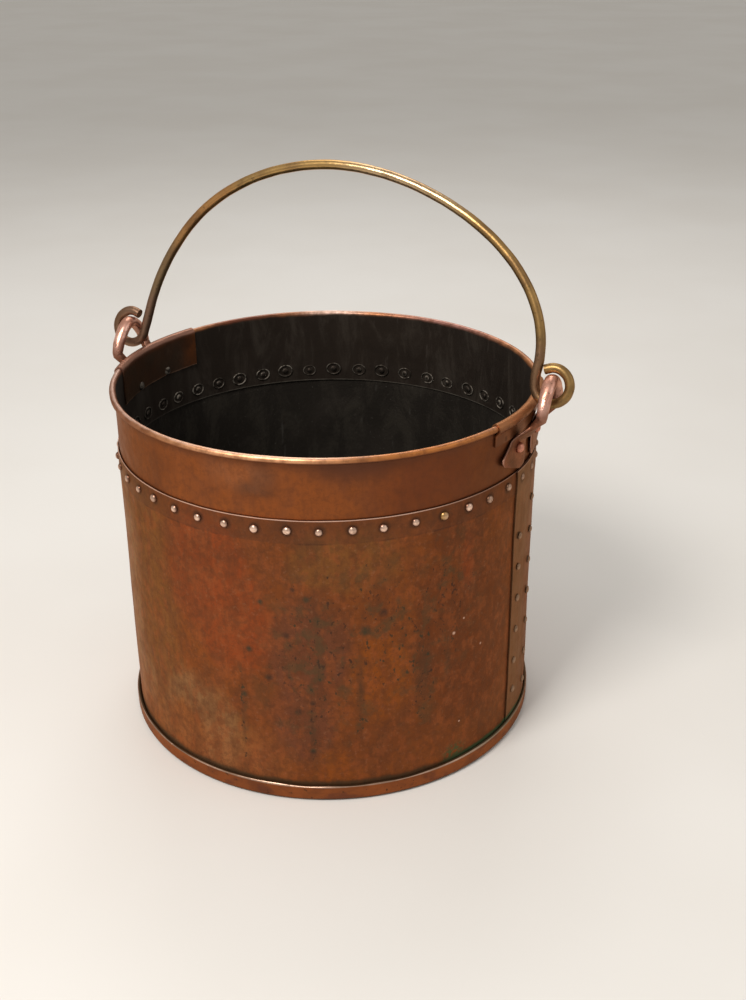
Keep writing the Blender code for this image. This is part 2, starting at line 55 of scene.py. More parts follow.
PAN_SPREAD = 0.0002
PAN_WAVER = 0.0009
TURNED_SIDES = 288
COPPER_TINT = (0.85, 0.6, 0.45, 1)
DUST_TINT = (0.97, 0.82, 0.68, 1)


def spread(start, end, steps):
    """Evenly spaced numbers, both ends included."""
    return [start + (end - start) * step / steps for step in range(steps + 1)]


def arc(centre, radius, start, end, steps):
    """Points (radius, height) along an arc given in degrees, both ends included."""
    angles = [math.radians(angle) for angle in spread(start, end, steps)]
    return [(centre[0] + radius * math.cos(a), centre[1] + radius * math.sin(a)) for a in angles]


def line(start, end, steps):
    """Points along a straight line, without its last one."""
    return list(zip(*(spread(a, b, steps) for a, b in zip(start, end))))[:-1]


def around(azimuth, radius, height=0):
    """The point at an azimuth in radians, a distance from the Z axis and a height."""
    return Vector((radius * math.cos(azimuth), radius * math.sin(azimuth), height))


def smooth_step(low, high, value):
    share = min(max((value - low) / (high - low), 0), 1)
    return share * share * (3 - 2 * share)


def dent(point, size, depth, seed):
    """How far hand work pushes the sheet at a point, for dents of about this size."""
    return depth * noise.noise(point / size + Vector((seed, -seed, 2 * seed)))


def shown(name, data):
    """An object of the scene, at the origin."""
    piece = bpy.data.objects.new(name, data)
    bpy.context.scene.collection.objects.link(piece)
    return piece


def skinned(name, rings, finish, closed=False, sharp_angle=40):
    """A mesh object skinned over rings of points, capped at both ends unless they close."""
    shape = bmesh.new()
    made = [[shape.verts.new(point) for point in ring] for ring in rings]
    for one, other in zip(made, made[1:] + made[:1] if closed else made[1:]):
        for corners in zip(one, one[1:] + one[:1], other[1:] + other[:1], other):
            shape.faces.new(corners)
    if not closed:
        shape.faces.new(made[0])
        shape.faces.new(made[-1][::-1])
    bmesh.ops.remove_doubles(shape, verts=shape.verts, dist=1e-6)
    loose = [edge for edge in shape.edges if not edge.link_faces]
    bmesh.ops.delete(shape, geom=loose, context="EDGES")
    bmesh.ops.recalc_face_normals(shape, faces=shape.faces)
    mesh = bpy.data.meshes.new(name)
    shape.to_mesh(mesh)
    shape.free()
    mesh.shade_smooth()
    mesh.set_sharp_from_angle(angle=math.radians(sharp_angle))
    mesh.materials.append(finish)
    return shown(name, mesh)


def turned(name, outline, worked, finish):
    """A closed (radius, height) outline carried round the Z axis, each point worked by hand."""
    azimuths = spread(0, 2 * math.pi, TURNED_SIDES)[:-1]
    rings = [[worked(azimuth, *spot) for spot in outline] for azimuth in azimuths]
    return skinned(name, rings, finish, closed=True)


class Value:
    """A value in a node tree. What is worked out from it becomes nodes of the same tree."""

    def __init__(self, socket):
        self.socket = socket

    def maths(self, operation, *others):
        inputs = dict(enumerate((self, *others)))
        return node(self.socket.id_data, "ShaderNodeMath", inputs, operation=operation)

    def __add__(self, other):
        return self.maths("ADD", other)

    def __sub__(self, other):
        return self.maths("SUBTRACT", other)

    def __mul__(self, other):
        return self.maths("MULTIPLY", other)

    def __abs__(self):
        return self.maths("ABSOLUTE")

    def ramp(self, low, high, start=0.0, end=1.0):
        """Eases from start to end while the value goes from low to high."""
        inputs = {0: self, 1: low, 2: high, 3: start, 4: end}
        kind = "ShaderNodeMapRange"
        return node(self.socket.id_data, kind, inputs, interpolation_type="SMOOTHSTEP")


def highest(value, *others):
    for other in others:
        value = value.maths("MAXIMUM", other)
    return value


def feed(made, inputs):
    """Links or sets the inputs of a node that are named."""
    for key, value in dict(inputs).items():
        if isinstance(value, Value):
            made.id_data.links.new(value.socket, made.inputs[key])
        else:
            made.inputs[key].default_value = value


def node(tree, kind, inputs=(), output=0, **settings):
    """Adds a node and returns one of its outputs."""
    made = tree.nodes.new(kind)
    for key, value in settings.items():
        setattr(made, key, value)
    feed(made, inputs)
    return Value(made.outputs[output])


class Finish:
    """A material built up in layers, from the colour of its ground to the marks on top."""

    def __init__(self, name, ground):
        self.made = bpy.data.materials.new(name)
        self.made.use_nodes = True
        self.tree = self.made.node_tree
        self.colour = ground

    def place(self, squeeze=1):
        """The point of the surface on the object, its height counted so many times."""
        here = node(self.tree, "ShaderNodeTexCoord", output=3)
        return node(self.tree, "ShaderNodeMapping", {"Vector": here, "Scale": (1, 1, squeeze)})

    def axis(self, axis):
        """One coordinate of the point: 0, 1 or 2 for X, Y or Z."""
        return node(self.tree, "ShaderNodeSeparateXYZ", {0: self.place()}, output=axis)

    def out(self):
        """Distance of the point from the bucket's axis."""
        x, y = self.axis(0), self.axis(1)
        return (x * x + y * y).maths("SQRT")

    def turn(self):
        """The point's azimuth in radians."""
        return self.axis(1).maths("ARCTAN2", self.axis(0))

    def clouds(self, scale, detail=4, roughness=0.55, squeeze=1, warp=0):
        """Noise from 0 to 1. Its scale is in blotches to the metre."""
        return node(self.tree, "ShaderNodeTexNoise", {
            "Vector": self.place(squeeze),
            "Scale": scale,
            "Detail": detail,
            "Roughness": roughness,
            "Distortion": warp,
        })

    def near(self, azimuth, height, reach, squeeze=1, radius=BODY_RADIUS):
        """1 at a point of the wall, given by its azimuth in degrees, and 0 from its reach on."""
        centre = around(math.radians(azimuth), radius, height * squeeze)
        inputs = {0: self.place(squeeze), 1: centre}
        away = node(self.tree, "ShaderNodeVectorMath", inputs, output=1, operation="DISTANCE")
        return away.ramp(0.1 * reach, reach, 1, 0)

    def near_any(self, places):
        return highest(*[self.near(*place) for place in places])

    def mixed(self, share, one, other):
        """A colour between two others."""
        one, other = (c if isinstance(c, Value) else (*c, 1) for c in (one, other))
        inputs = {0: share, 6: one, 7: other}
        return node(self.tree, "ShaderNodeMix", inputs, output=2, data_type="RGBA")

    def lay(self, tone, share, *others):
        """Lays a tone over the colour, as far as the product of the shares says."""
        for other in others:
            share = share * other
        self.colour = self.mixed(share, self.colour, tone)

    def finished(self, roughness, metallic, relief, depth, tint=COPPER_TINT):
        """The material, with a bump of this depth where its relief is highest."""
        bump = {"Height": relief, "Distance": depth, "Strength": 1}
        feed(self.tree.nodes["Principled BSDF"], {
            "Base Color": self.colour,
            "Roughness": roughness,
            "Metallic": metallic,
            "Specular Tint": tint,
            "Normal": node(self.tree, "ShaderNodeBump", bump),
        })
        return self.made


def soot_finish():
    """Soot and coal dust on copper: near black, with grey smudges and faint scratches."""
    look = Finish("soot", (0.0068, 0.0058, 0.0048))
    smudge = look.clouds(36, 6, 0.7, 0.45, 0.6).ramp(0.44, 0.66)
    look.lay((0.0225, 0.0192, 0.0152), smudge)
    look.lay((0.03, 0.024, 0.02), look.clouds(9, 3).ramp(0.5, 0.8), 0.5)
    scratches = look.clouds(210, 3, 0.6, 0.12).ramp(0.64, 0.74)
    look.lay((0.05, 0.047, 0.043), scratches, 0.45)
    look.lay((0.06, 0.055, 0.048), look.clouds(420, 2).ramp(0.68, 0.76), 0.6)
    relief = look.clouds(300, 5) + smudge * 0.5
    made = look.finished(smudge.ramp(0, 1, 0.78, 0.6), 0, relief, 0.0004, DUST_TINT)
    made.node_tree.nodes["Principled BSDF"].inputs["Specular IOR Level"].default_value = 0.35
    return made


def pan_finish():
    """The pan's copper: orange-brown and smudged, darker on the hem's top and near the floor, with
    a thin line on its hem that is rubbed copper and a painted highlight.
    """
    look = Finish("pan_copper", (0.3, 0.088, 0.025))
    up = look.axis(2)
    look.lay((0.18, 0.056, 0.021), look.clouds(22, 5, 0.6, warp=0.5).ramp(0.35, 0.65))
    look.lay((0.11, 0.038, 0.026), look.clouds(38, 4, 0.6, 2).ramp(0.54, 0.66), 0.55)
    pits = look.clouds(330, 3).ramp(0.62, 0.7)
    look.lay((0.03, 0.016, 0.01), pits, 0.7)
    # The hem's top is darkened, and a thin pale line is painted on its outer shoulder: rubbed
    # copper and a painted highlight together.
    top = up.ramp(PAN_HEIGHT - 0.0013, PAN_HEIGHT - 0.0007)
    look.lay((0.05, 0.036, 0.019), top, 0.85)
    shoulder = top * look.out().ramp(PAN_RADIUS - 0.0007, PAN_RADIUS - 0.0003)
    shoulder *= look.clouds(30, 4, 0.6).ramp(0.35, 0.6, 0.45, 1)
    look.lay((0.52, 0.34, 0.25), shoulder)
    green = look.near(-12, PAN_HEIGHT, 0.08, radius=PAN_RADIUS)
    look.lay((0.16, 0.14, 0.08), green, top, 0.5)
    look.lay((0.045, 0.018, 0.01), up.ramp(0.0005, 0.003, 1, 0), 0.8)
    relief = look.clouds(120, 4) - pits * 0.5
    return look.finished(shoulder.ramp(0, 1, 0.46, 0.32), 0.75, relief, 0.0003)


def worked_pan(azimuth, radius, height):
    """A point of the pan's section at an azimuth, moved by what hand work does to it."""
    point = around(azimuth, radius, height)
    rim = smooth_step(0, PAN_HEIGHT, height) * smooth_step(0.8 * BODY_RADIUS, BODY_RADIUS, radius)
    pushed = radius + rim * (PAN_SPREAD + dent(point, 0.035, 0.0003, 5))
    return around(azimuth, pushed, height + rim * dent(point, 0.028, PAN_WAVER, 3))


def covered(piece, material, is_covered):
    """Gives a material to the faces of a piece for which the test holds."""
    piece.data.materials.append(material)
    for face in piece.data.polygons:
        if is_covered(face):
            face.material_index = len(piece.data.materials) - 1


hem = (PAN_RADIUS - PAN_INNER) / 2
pan_outline = [
    *line((0, 0), (PAN_RADIUS - PAN_CORNER, 0), 10),
    *arc((PAN_RADIUS - PAN_CORNER, PAN_CORNER), PAN_CORNER, -90, 0, 6),
    *line((PAN_RADIUS, PAN_CORNER + 0.001), (PAN_RADIUS, PAN_HEIGHT - hem), 6),
    *arc((PAN_RADIUS - hem, PAN_HEIGHT - hem), hem, 0, 180, 8),
    *line((PAN_INNER, PAN_HEIGHT - 2 * hem), (PAN_INNER, SHEET), 5),
    *line((PAN_INNER, SHEET), (0, SHEET), 10),
    (0, SHEET),
]
soot = soot_finish()
pan = turned("pan", pan_outline, worked_pan, pan_finish())
covered(pan, soot, lambda face: face.normal.z > 0.7 and face.center.z < 2 * SHEET)
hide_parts("base_pan")
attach(pan, "bucket")

# Body sheet
# One sheet of copper, rolled round until its ends lap at +X, and darkened by years at a hearth.
# Its free top edge stands outside the collar and is rubbed bright, with a painted highlight along
# it.
BODY_FOOT = SHEET + 0.0003
ROW_HEIGHT = 0.248
BODY_TOP = 0.2565
COLLAR_FOOT = 0.237
LAP_START = -7.0
LAP_END = 9.78
JOGGLE_END = 16.0
LAP_LIFT = SHEET + 0.0001
LAP_FOOT = PAN_HEIGHT + 0.0006
UNDER_PLY_DROP = 0.0004
EDGE_ROUNDING = 0.0003
COLLAR_CREASE = 0.0003
BODY_STEPS = 300
BODY_LEVELS = 46
COLLAR_RIVETS = 46
PITCH = 2 * math.pi / COLLAR_RIVETS

# Places on the wall: azimuth in degrees, height, reach, and how far each is drawn upright
RED = (
    (-97, 0.2, 0.07, 0.8), (-90, 0.165, 0.055, 0.65), (-27, 0.2, 0.01, 0.2), (125, 0.16, 0.1, 0.8),
)
OLIVE = (
    (-122, 0.14, 0.07, 0.3), (-60, 0.222, 0.07, 1.6), (-98, 0.055, 0.06, 1.2),
    (60, 0.12, 0.12, 0.8), (170, 0.1, 0.09, 0.7),
)
# The first tan place, an upright strip near the left edge, is a painted reflection of the floor;
# the other two are tan patches of the patina.
TAN_AND_FLOOR_REFLECTION = ((-136, 0.15, 0.045, 0.2), (-127, 0.06, 0.03, 0.8), (-104, 0.05, 0.07, 0.9))
ORANGE = (
    (-52, 0.115, 0.04, 0.6), (-108, 0.04, 0.04, 1), (90, 0.06, 0.05, 0.8), (-64, 0.03, 0.03, 1),
)
PLUM = (
    (-70, 0.14, 0.055, 0.7), (-72, 0.075, 0.045, 0.7), (30, 0.2, 0.06, 1), (150, 0.05, 0.07, 1),
)
DARK = (
    (-30, 0.23, 0.045, 1.2), (-24, 0.13, 0.075, 0.6), (-37, 0.15, 0.03, 0.3),
    (100, 0.2, 0.06, 0.8), (-150, 0.1, 0.05, 0.6),
)
BODY_TONES = (
    (OLIVE, (0.225, 0.089, 0.025), 0.85), (TAN_AND_FLOOR_REFLECTION, (0.3, 0.155, 0.065), 0.8),
    (DARK, (0.15, 0.04, 0.013), 0.75), (PLUM, (0.16, 0.056, 0.03), 0.8),
    (ORANGE, (0.285, 0.077, 0.0135), 0.8), (RED, (0.3, 0.06, 0.0175), 0.72),
)
STREAKS = (
    (-88, 0.075, 0.0035, 0.08), (-69.4, 0.07, 0.004, 0.09), (-57, 0.1, 0.005, 0.1),
    (-40.4, 0.115, 0.011, 0.22), (-33, 0.12, 0.005, 0.15), (70, 0.1, 0.006, 0.15),
)
PITTED = (
    (-67, 0.135, 0.085, 0.6), (-52, 0.15, 0.07, 0.55), (-41, 0.12, 0.03, 0.25),
    (-57, 0.1, 0.012, 0.12), (-88, 0.075, 0.007, 0.08), (-69.4, 0.07, 0.008, 0.1),
    (-32, 0.17, 0.05, 0.5), (75, 0.12, 0.09, 0.55),
)
SPOTS = (
    (-73.5, 0.1977, 0.0036), (-70.2, 0.1895, 0.0045), (-81.8, 0.1843, 0.004),
    (-75.5, 0.1563, 0.0042), (-85.4, 0.1397, 0.0044), (-80.4, 0.1155, 0.005),
    (-87.5, 0.0958, 0.004), (-72.9, 0.0859, 0.0055), (-69.2, 0.0942, 0.0036),
    (-69.6, 0.0473, 0.0045), (-51, 0.1742, 0.0055), (-55.6, 0.16, 0.0075),
)
NICKS = (
    (-27.8, 0.1497, 0.0014), (-31.1, 0.1394, 0.0022), (-21.4, 0.1177, 0.0017),
    (-28.4, 0.0503, 0.0013),
)
GREEN_DROP = (-29.9, 0.0215, 0.012 / 0.7, 1 / 0.7)


def rivet_distance(look, height):
    """Distance on the wall from the nearest rivet of the collar's row."""
    turns = look.turn().maths("MULTIPLY_ADD", 1 / PITCH, 1000.0)
    along = (turns.maths("FRACT") - 0.5) * (PITCH * BODY_RADIUS)
    up = look.axis(2) - height
    return (along * along + up * up).maths("SQRT")


def body_finish():
    """Copper with a brown patina: red, olive, orange, tan and plum patches, runs, pits, verdigris,
    and a painted reflection of the floor near its left edge.
    """
    look = Finish("body_copper", (0.262, 0.075, 0.018))
    up, turn = look.axis(2), look.turn()
    look.lay((0.2, 0.058, 0.0165), look.clouds(9, 4, 0.55, 0.8, 0.8).ramp(0.36, 0.64))
    fray = look.clouds(38, 6, 0.65, 0.6, 0.3)
    for places, tone, strength in BODY_TONES:
        look.lay(tone, (fray * 0.8 + look.near_any(places)).ramp(0.55, 1.05), strength)
    look.lay((0.14, 0.042, 0.0145), turn.ramp(-0.85, -0.55), up.ramp(0.12, 0.2), 0.4)
    look.lay((0.38, 0.14, 0.048), turn.ramp(-1.5, -1.25, 1, 0), up.ramp(0.03, 0.08, 0.6, 0))
    look.lay((0.15, 0.05, 0.02), look.clouds(60, 6, 0.65, 0.6, 0.4).ramp(0.42, 0.62), 0.5)
    look.lay((0.31, 0.085, 0.026), look.clouds(110, 5, 0.65, 0.7).ramp(0.48, 0.6), 0.45)
    brushed = look.clouds(230, 4, 0.65, 0.045).ramp(0.4, 0.64)
    look.lay((0.085, 0.034, 0.018), brushed, 0.16)
    look.lay((0.1, 0.038, 0.018), look.clouds(170, 6, 0.75).ramp(0.44, 0.6), 0.42)
    look.lay((0.32, 0.14, 0.07), look.clouds(260, 5, 0.75).ramp(0.56, 0.68), 0.35)
    runs = look.clouds(34, 3, 0.5, 0.07).ramp(0.56, 0.7)
    broken = look.clouds(70, 4, 0.6, 0.4).ramp(0.4, 0.62)
    look.lay((0.085, 0.04, 0.022), runs, broken, 0.5)
    for streak in STREAKS:
        look.lay((0.065, 0.042, 0.024), look.near(*streak), fray, 0.85)

    # Dark specks, dense where the wall is pitted, and a few larger spots
    pitted = look.near_any(PITTED)
    tarnish = look.clouds(75, 4, 0.6).ramp(0.5, 0.66) * pitted
    look.lay((0.082, 0.058, 0.029), tarnish, 0.6)
    above = look.clouds(270, 3, 0.55, 0.75) - pitted.ramp(0, 1, 0.77, 0.625)
    frayed = look.clouds(520, 3).ramp(0.3, 0.55, 0.7, 1)
    specks = highest(above.ramp(-0.035, 0.06), look.near_any(SPOTS)) * frayed
    greenish = look.clouds(30, 2).ramp(0.45, 0.55)
    speck_tone = look.mixed(greenish, (0.05, 0.026, 0.017), (0.043, 0.042, 0.024))
    look.lay(speck_tone, specks, 0.85)

    # The darker band in front of the collar, and the line pressed by the collar's foot
    band = up.ramp(COLLAR_FOOT - 0.0006, COLLAR_FOOT + 0.0006)
    look.lay((0.105, 0.041, 0.021), band, 0.4)
    pressed = abs(up - COLLAR_FOOT).ramp(0, 0.0014, 1, 0)
    look.lay((0.06, 0.025, 0.016), pressed, broken, 0.5)

    # The outer ply at the seam, paler, with a painted shadow along its edge and grime round the
    # rivets
    ply = turn.ramp(-0.1232, -0.1222) * (fray * 0.5 + turn).ramp(0.22, 0.5, 1, 0)
    look.lay((0.205, 0.108, 0.05), ply, brushed.ramp(0, 1, 0.72, 0.45))
    # A dark line painted along the outer ply's edge stands in for the shadow that the edge casts.
    ply_edge_shadow = abs(turn - math.radians(LAP_START)).ramp(0.0008, 0.0045, 1, 0)
    look.lay((0.1, 0.054, 0.03), ply_edge_shadow, 0.6)
    grime = rivet_distance(look, ROW_HEIGHT).ramp(0.0034, 0.0064, 1, 0)
    look.lay((0.05, 0.026, 0.016), grime, 0.6)

    # Dirt along the foot, verdigris in it at the right, bright nicks, and the top edge rubbed
    # bright with a painted highlight on it
    low = (up - look.clouds(45, 4) * 0.008).ramp(PAN_HEIGHT - 0.003, PAN_HEIGHT + 0.001, 1, 0)
    look.lay((0.05, 0.038, 0.02), low, 0.75)
    right_foot = turn.ramp(-0.64, -0.5) * turn.ramp(0.1, 0.3, 1, 0)
    drop = look.near(*GREEN_DROP) * look.clouds(330, 3).ramp(0.44, 0.56)
    look.lay((0.05, 0.1, 0.04), highest(right_foot * low * frayed, drop), 0.9)
    for nick in NICKS:
        look.lay((0.7, 0.45, 0.33), look.near(*nick), frayed)
    # The pale top edge is rubbed copper with a painted highlight, strongest on the left towards the
    # key lamp.
    lip = look.out().ramp(BODY_RADIUS - 0.0008, BODY_RADIUS - 0.0003)
    edge = up.ramp(BODY_TOP - 0.0008, BODY_TOP - 0.0004)
    look.lay((0.75, 0.5, 0.39), edge, lip, turn.ramp(-0.9, -0.3, 0.9, 0.3))
    dull = highest(specks, low * 0.8)
    roughness = look.clouds(60, 4).ramp(0.3, 0.7, 0.43, 0.55) + dull * 0.3
    relief = look.clouds(90, 5, 0.6) - specks * 0.2
    return look.finished(roughness, dull.ramp(0, 1, 0.8, 0.5), relief, 0.00028)


def body_wall(azimuth, height):
    """What hand work does to the body's outer face, in metres outwards."""
    point = around(azimuth, BODY_RADIUS, height)
    free = smooth_step(0, 0.05, height) * smooth_step(BODY_TOP, BODY_TOP - 0.03, height)
    dents = dent(point, 0.07, 0.0009, 1) + dent(point, 0.022, 0.00022, 2)
    creased = smooth_step(COLLAR_FOOT - 0.0015, COLLAR_FOOT + 0.0008, height)
    return free * dents + COLLAR_CREASE * creased


def body_rings():
    """Rings round the sheet's section, from its outer ply at the seam once round and under it."""
    rings = []
    for degrees in spread(LAP_START, 360 + LAP_END, BODY_STEPS):
        azimuth = math.radians(degrees)
        lift = LAP_LIFT * (1 - smooth_step(LAP_END, JOGGLE_END, degrees))
        foot = LAP_FOOT if lift > 0.0002 else BODY_FOOT
        top = BODY_TOP + dent(around(azimuth, 1), 0.13, 0.0003, 8)
        if degrees > 360 + LAP_START - 1:
            top -= UNDER_PLY_DROP
        outer, inner = [], []
        for height in spread(foot, top, BODY_LEVELS):
            radius = BODY_RADIUS + lift + body_wall(azimuth, height)
            rounded = EDGE_ROUNDING if height in (foot, top) else 0
            outer.append(around(azimuth, radius - rounded, height))
            inner.append(around(azimuth, radius - SHEET + rounded, height))
        rings.append(outer + inner[::-1])
    return rings


body = skinned("body_sheet", body_rings(), body_finish())
covered(body, soot, lambda face: face.normal.xy.dot(face.center.xy) < -0.05)
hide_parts("body_shell")
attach(body, "bucket")

# Collar
# A second ring of sheet inside the top of the body. Its upper edge is rolled outward over the
# wire. The roll is the part that hands and coal rub most, so it is the brightest; a highlight
# is painted along its crest.
COLLAR_OUTER = 0.178
COLLAR_INNER = COLLAR_OUTER - SHEET
RIM_HEIGHT = 0.3074
BEAD_RADIUS = 0.0027
BEAD_CENTRE = COLLAR_INNER + BEAD_RADIUS
BEAD_HEIGHT = RIM_HEIGHT - BEAD_RADIUS
CURL_INNER = BEAD_RADIUS - SHEET

# The roll's tones round the rim: azimuth in degrees, reach and colour
ROLL_TONES = (
    (-150, 0.16, (0.3, 0.145, 0.1)), (-82, 0.12, (0.82, 0.42, 0.22)),
    (-40, 0.1, (0.55, 0.2, 0.055)), (142, 0.075, (0.16, 0.05, 0.03)),
    (114, 0.045, (0.9, 0.62, 0.5)), (74, 0.1, (0.42, 0.2, 0.16)),
)


def collar_finish():
    """Smooth brown copper outside with painted shade under the roll, rubbed in many tones on the
    roll with a painted highlight on its crest, and black with soot inside.
    """
    look = Finish("collar_copper", (0.27, 0.077, 0.02))
    up, turn = look.axis(2), look.turn()
    look.lay((0.2, 0.058, 0.0175), look.clouds(10, 4, 0.55, warp=0.7).ramp(0.36, 0.64))
    smear = look.clouds(33, 5, 0.6, 0.7, 0.5).ramp(0.42, 0.7)
    look.lay((0.135, 0.048, 0.026), smear, 0.5)
    look.lay((0.22, 0.048, 0.018), look.near(-38, 0.28, 0.06, 1, COLLAR_OUTER), 0.6)
    look.lay((0.135, 0.042, 0.0155), turn.ramp(-0.98, -0.7), 0.6)
    # A darker plum patch below the roll at the front: partly patina and partly a painted shadow of
    # the roll.
    look.lay((0.1, 0.037, 0.022), look.near(-58, 0.299, 0.06, 3, COLLAR_OUTER), 0.85)
    pale = look.near(-86, 0.289, 0.04, 2, COLLAR_OUTER) * smear.ramp(0, 1, 0.5, 1)
    look.lay((0.37, 0.145, 0.065), pale, 0.5)
    look.lay((0.1, 0.037, 0.02), look.clouds(240, 4, 0.65, 0.05).ramp(0.4, 0.62), 0.12)
    look.lay((0.11, 0.038, 0.018), look.clouds(190, 6, 0.75).ramp(0.44, 0.62), 0.35)
    # Painted shade: the collar darkens towards the roll, as in the roll's shadow.
    look.lay((0.11, 0.043, 0.024), up.ramp(BEAD_HEIGHT - 0.012, BEAD_HEIGHT - 0.003), 0.45)

    # The roll in its rubbed tones, with a painted highlight along its crest
    patchy = look.clouds(85, 5, 0.65).ramp(0.35, 0.62, 0.4, 1)
    tone = (0.45, 0.19, 0.08)
    for azimuth, reach, rubbed in ROLL_TONES:
        tone = look.mixed(look.near(azimuth, BEAD_HEIGHT, reach, 1, BEAD_CENTRE), tone, rubbed)
    look.lay(tone, up.ramp(BEAD_HEIGHT - 0.0018, BEAD_HEIGHT + 0.0008), patchy)
    # Painted highlight: a whitish line along the roll's crest, weaker towards the right.
    crest = (up + look.clouds(75, 4) * 0.0016).ramp(BEAD_HEIGHT + 0.0026, BEAD_HEIGHT + 0.0034)
    brightest = look.mixed(0.5, tone, (1.0, 0.8, 0.7))
    look.lay(brightest, crest, turn.ramp(-1.2, -0.9, 0.6, 0.2))

    # The sooted inside, scratched, with its foot rubbed pale
    grey = look.clouds(40, 6, 0.7, 0.35, 0.6).ramp(0.44, 0.66)
    black = look.mixed(grey, (0.0075, 0.0063, 0.0053), (0.0245, 0.021, 0.0172))
    scratch = look.clouds(230, 3, 0.6, 0.15).ramp(0.64, 0.74)
    black = look.mixed(scratch * 0.4, black, (0.052, 0.046, 0.04))
    smeared = look.near(141, 0.26, 0.014, 0.5, COLLAR_INNER) * scratch
    black = look.mixed(smeared, black, (0.11, 0.1, 0.085))
    foot = up.ramp(COLLAR_FOOT + 0.0005, COLLAR_FOOT + 0.0012, 1, 0)
    black = look.mixed(foot * patchy * 0.75, black, (0.085, 0.077, 0.064))
    depth = up + look.clouds(70, 4) * 0.004
    sooted = depth.ramp(BEAD_HEIGHT + 0.0005, BEAD_HEIGHT + 0.0035, 1, 0)
    sooted *= look.out().ramp(COLLAR_INNER + 0.0004, COLLAR_INNER + 0.0009, 1, 0)
    look.lay(black, sooted)
    roughness = look.clouds(70, 4).ramp(0.3, 0.7, 0.36, 0.48) + sooted * 0.28
    metallic = sooted.ramp(0, 1, 0.8, 0)
    return look.finished(roughness, metallic, look.clouds(110, 5, 0.6), 0.00024)


def worked_collar(azimuth, radius, height):
    """A point of the collar's section at an azimuth, moved by what hand work does to it."""
    point = around(azimuth, radius, height)
    free = smooth_step(BODY_TOP, BODY_TOP + 0.02, height)
    pushed = radius + free * (dent(point, 0.06, 0.0007, 11) + dent(point, 0.015, 0.00018, 12))
    raised = height + free * dent(around(azimuth, radius), 0.09, 0.0007, 13)
    return around(azimuth, pushed, raised)


collar_outline = [
    *line((COLLAR_INNER, COLLAR_FOOT), (COLLAR_INNER, BEAD_HEIGHT), 24),
    *arc((BEAD_CENTRE, BEAD_HEIGHT), BEAD_RADIUS, 180, -88, 20),
    *arc((BEAD_CENTRE, BEAD_HEIGHT), CURL_INNER, -88, 178, 14),
    *line((COLLAR_OUTER, BEAD_HEIGHT - 0.001), (COLLAR_OUTER, COLLAR_FOOT), 24),
    (COLLAR_OUTER, COLLAR_FOOT),
]
collar = turned("rolled_collar", collar_outline, worked_collar, collar_finish())
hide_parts("collar")
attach(collar, "bucket")

# Rim wire
# Plain iron wire, butted into a ring, which stiffens the roll. Only its underside can be seen.
WIRE_RADIUS = 0.0013


def iron_finish():
    look = Finish("iron_wire", (0.06, 0.052, 0.048))
    rust = look.clouds(160, 5).ramp(0.45, 0.65)
    look.lay((0.09, 0.036, 0.018), rust)
    metallic = rust.ramp(0, 1, 0.85, 0.2)
    return look.finished(rust.ramp(0, 1, 0.5, 0.8), metallic, look.clouds(400, 3), 0.0002)


wire_outline = arc((BEAD_CENTRE, BEAD_HEIGHT), WIRE_RADIUS, 0, 360, 10)[:-1]
wire = turned("rim_wire_ring", wire_outline, worked_collar, iron_finish())
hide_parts("rim_wire")
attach(wire, "bucket")

# Rivets of the seam and the collar
# Copper rivets with domed heads. The collar's are clenched inside over a rove, whose pressed
# rim shows as a pale ring in the soot. A row of points round the wall carries each kind.
COLLAR_RIVET = {
    "Rivets": COLLAR_RIVETS,
    "Height": ROW_HEIGHT,
    "Wall radius": BODY_RADIUS,
    "Grip": BODY_RADIUS - COLLAR_INNER + 0.0006,
    "Head radius": 0.0034,
    "Head height": 0.0027,
    "Rove radius": 0.0058,
    "Rove rim": 0.0006,
    "Tail radius": 0.0028,
    "Tail height": 0.0014,
}
SEAM_SEAT = BODY_RADIUS + LAP_LIFT
SEAM_RIVET = {
    "Wall radius": SEAM_SEAT + 0.0001,
    "Pitch": 0.0307,
    "Head radius": 0.0034,
    "Head height": 0.002,
}
SEAM_ROWS = {
    "front": {"Rivets": 6, "Azimuth": math.radians(-3.5), "Lowest": 0.0415},
    "back": {"Rivets": 7, "Azimuth": math.radians(6.5), "Lowest": 0.033},
}
HEAD_SIDES = (16, 12)
TAIL_SIDES = (10, 6)
ROVE_STRETCH = (0.9, 1.1, 1.0)
ROW_SCATTER = 0.006
EAR_RIVET_HEIGHT = 0.278


def rivet_finish(name, bright, dark, roughness, seat, height):
    """Rivet copper, dark and mottled, with a painted highlight over the crown that leaves painted
    shade where the head meets the sheet.
    """
    look = Finish(name, dark)
    # Painted highlight: the crown is coloured bright by its height off the sheet, and the head's
    # foot stays dark as painted shade.
    look.lay(bright, look.out().ramp(seat + 0.35 * height, seat + 0.95 * height))
    look.lay(dark, look.clouds(240, 4).ramp(0.35, 0.7), 0.35)
    look.lay(dark, look.clouds(45, 2).ramp(0.45, 0.65), 0.35)
    look.lay((0.42, 0.24, 0.085), look.near(-36, ROW_HEIGHT, 0.012), 0.9)
    below_the_ears = look.axis(2).ramp(ROW_HEIGHT + 0.01, ROW_HEIGHT + 0.012, 0.55, 0)
    look.lay((0.22, 0.13, 0.08), look.turn().ramp(-0.5, -0.3), below_the_ears)
    look.lay((0.08, 0.035, 0.025), look.clouds(700, 3).ramp(0.58, 0.7), 0.5)
    return look.finished(roughness, 0.85, look.clouds(500, 4), 0.00012)


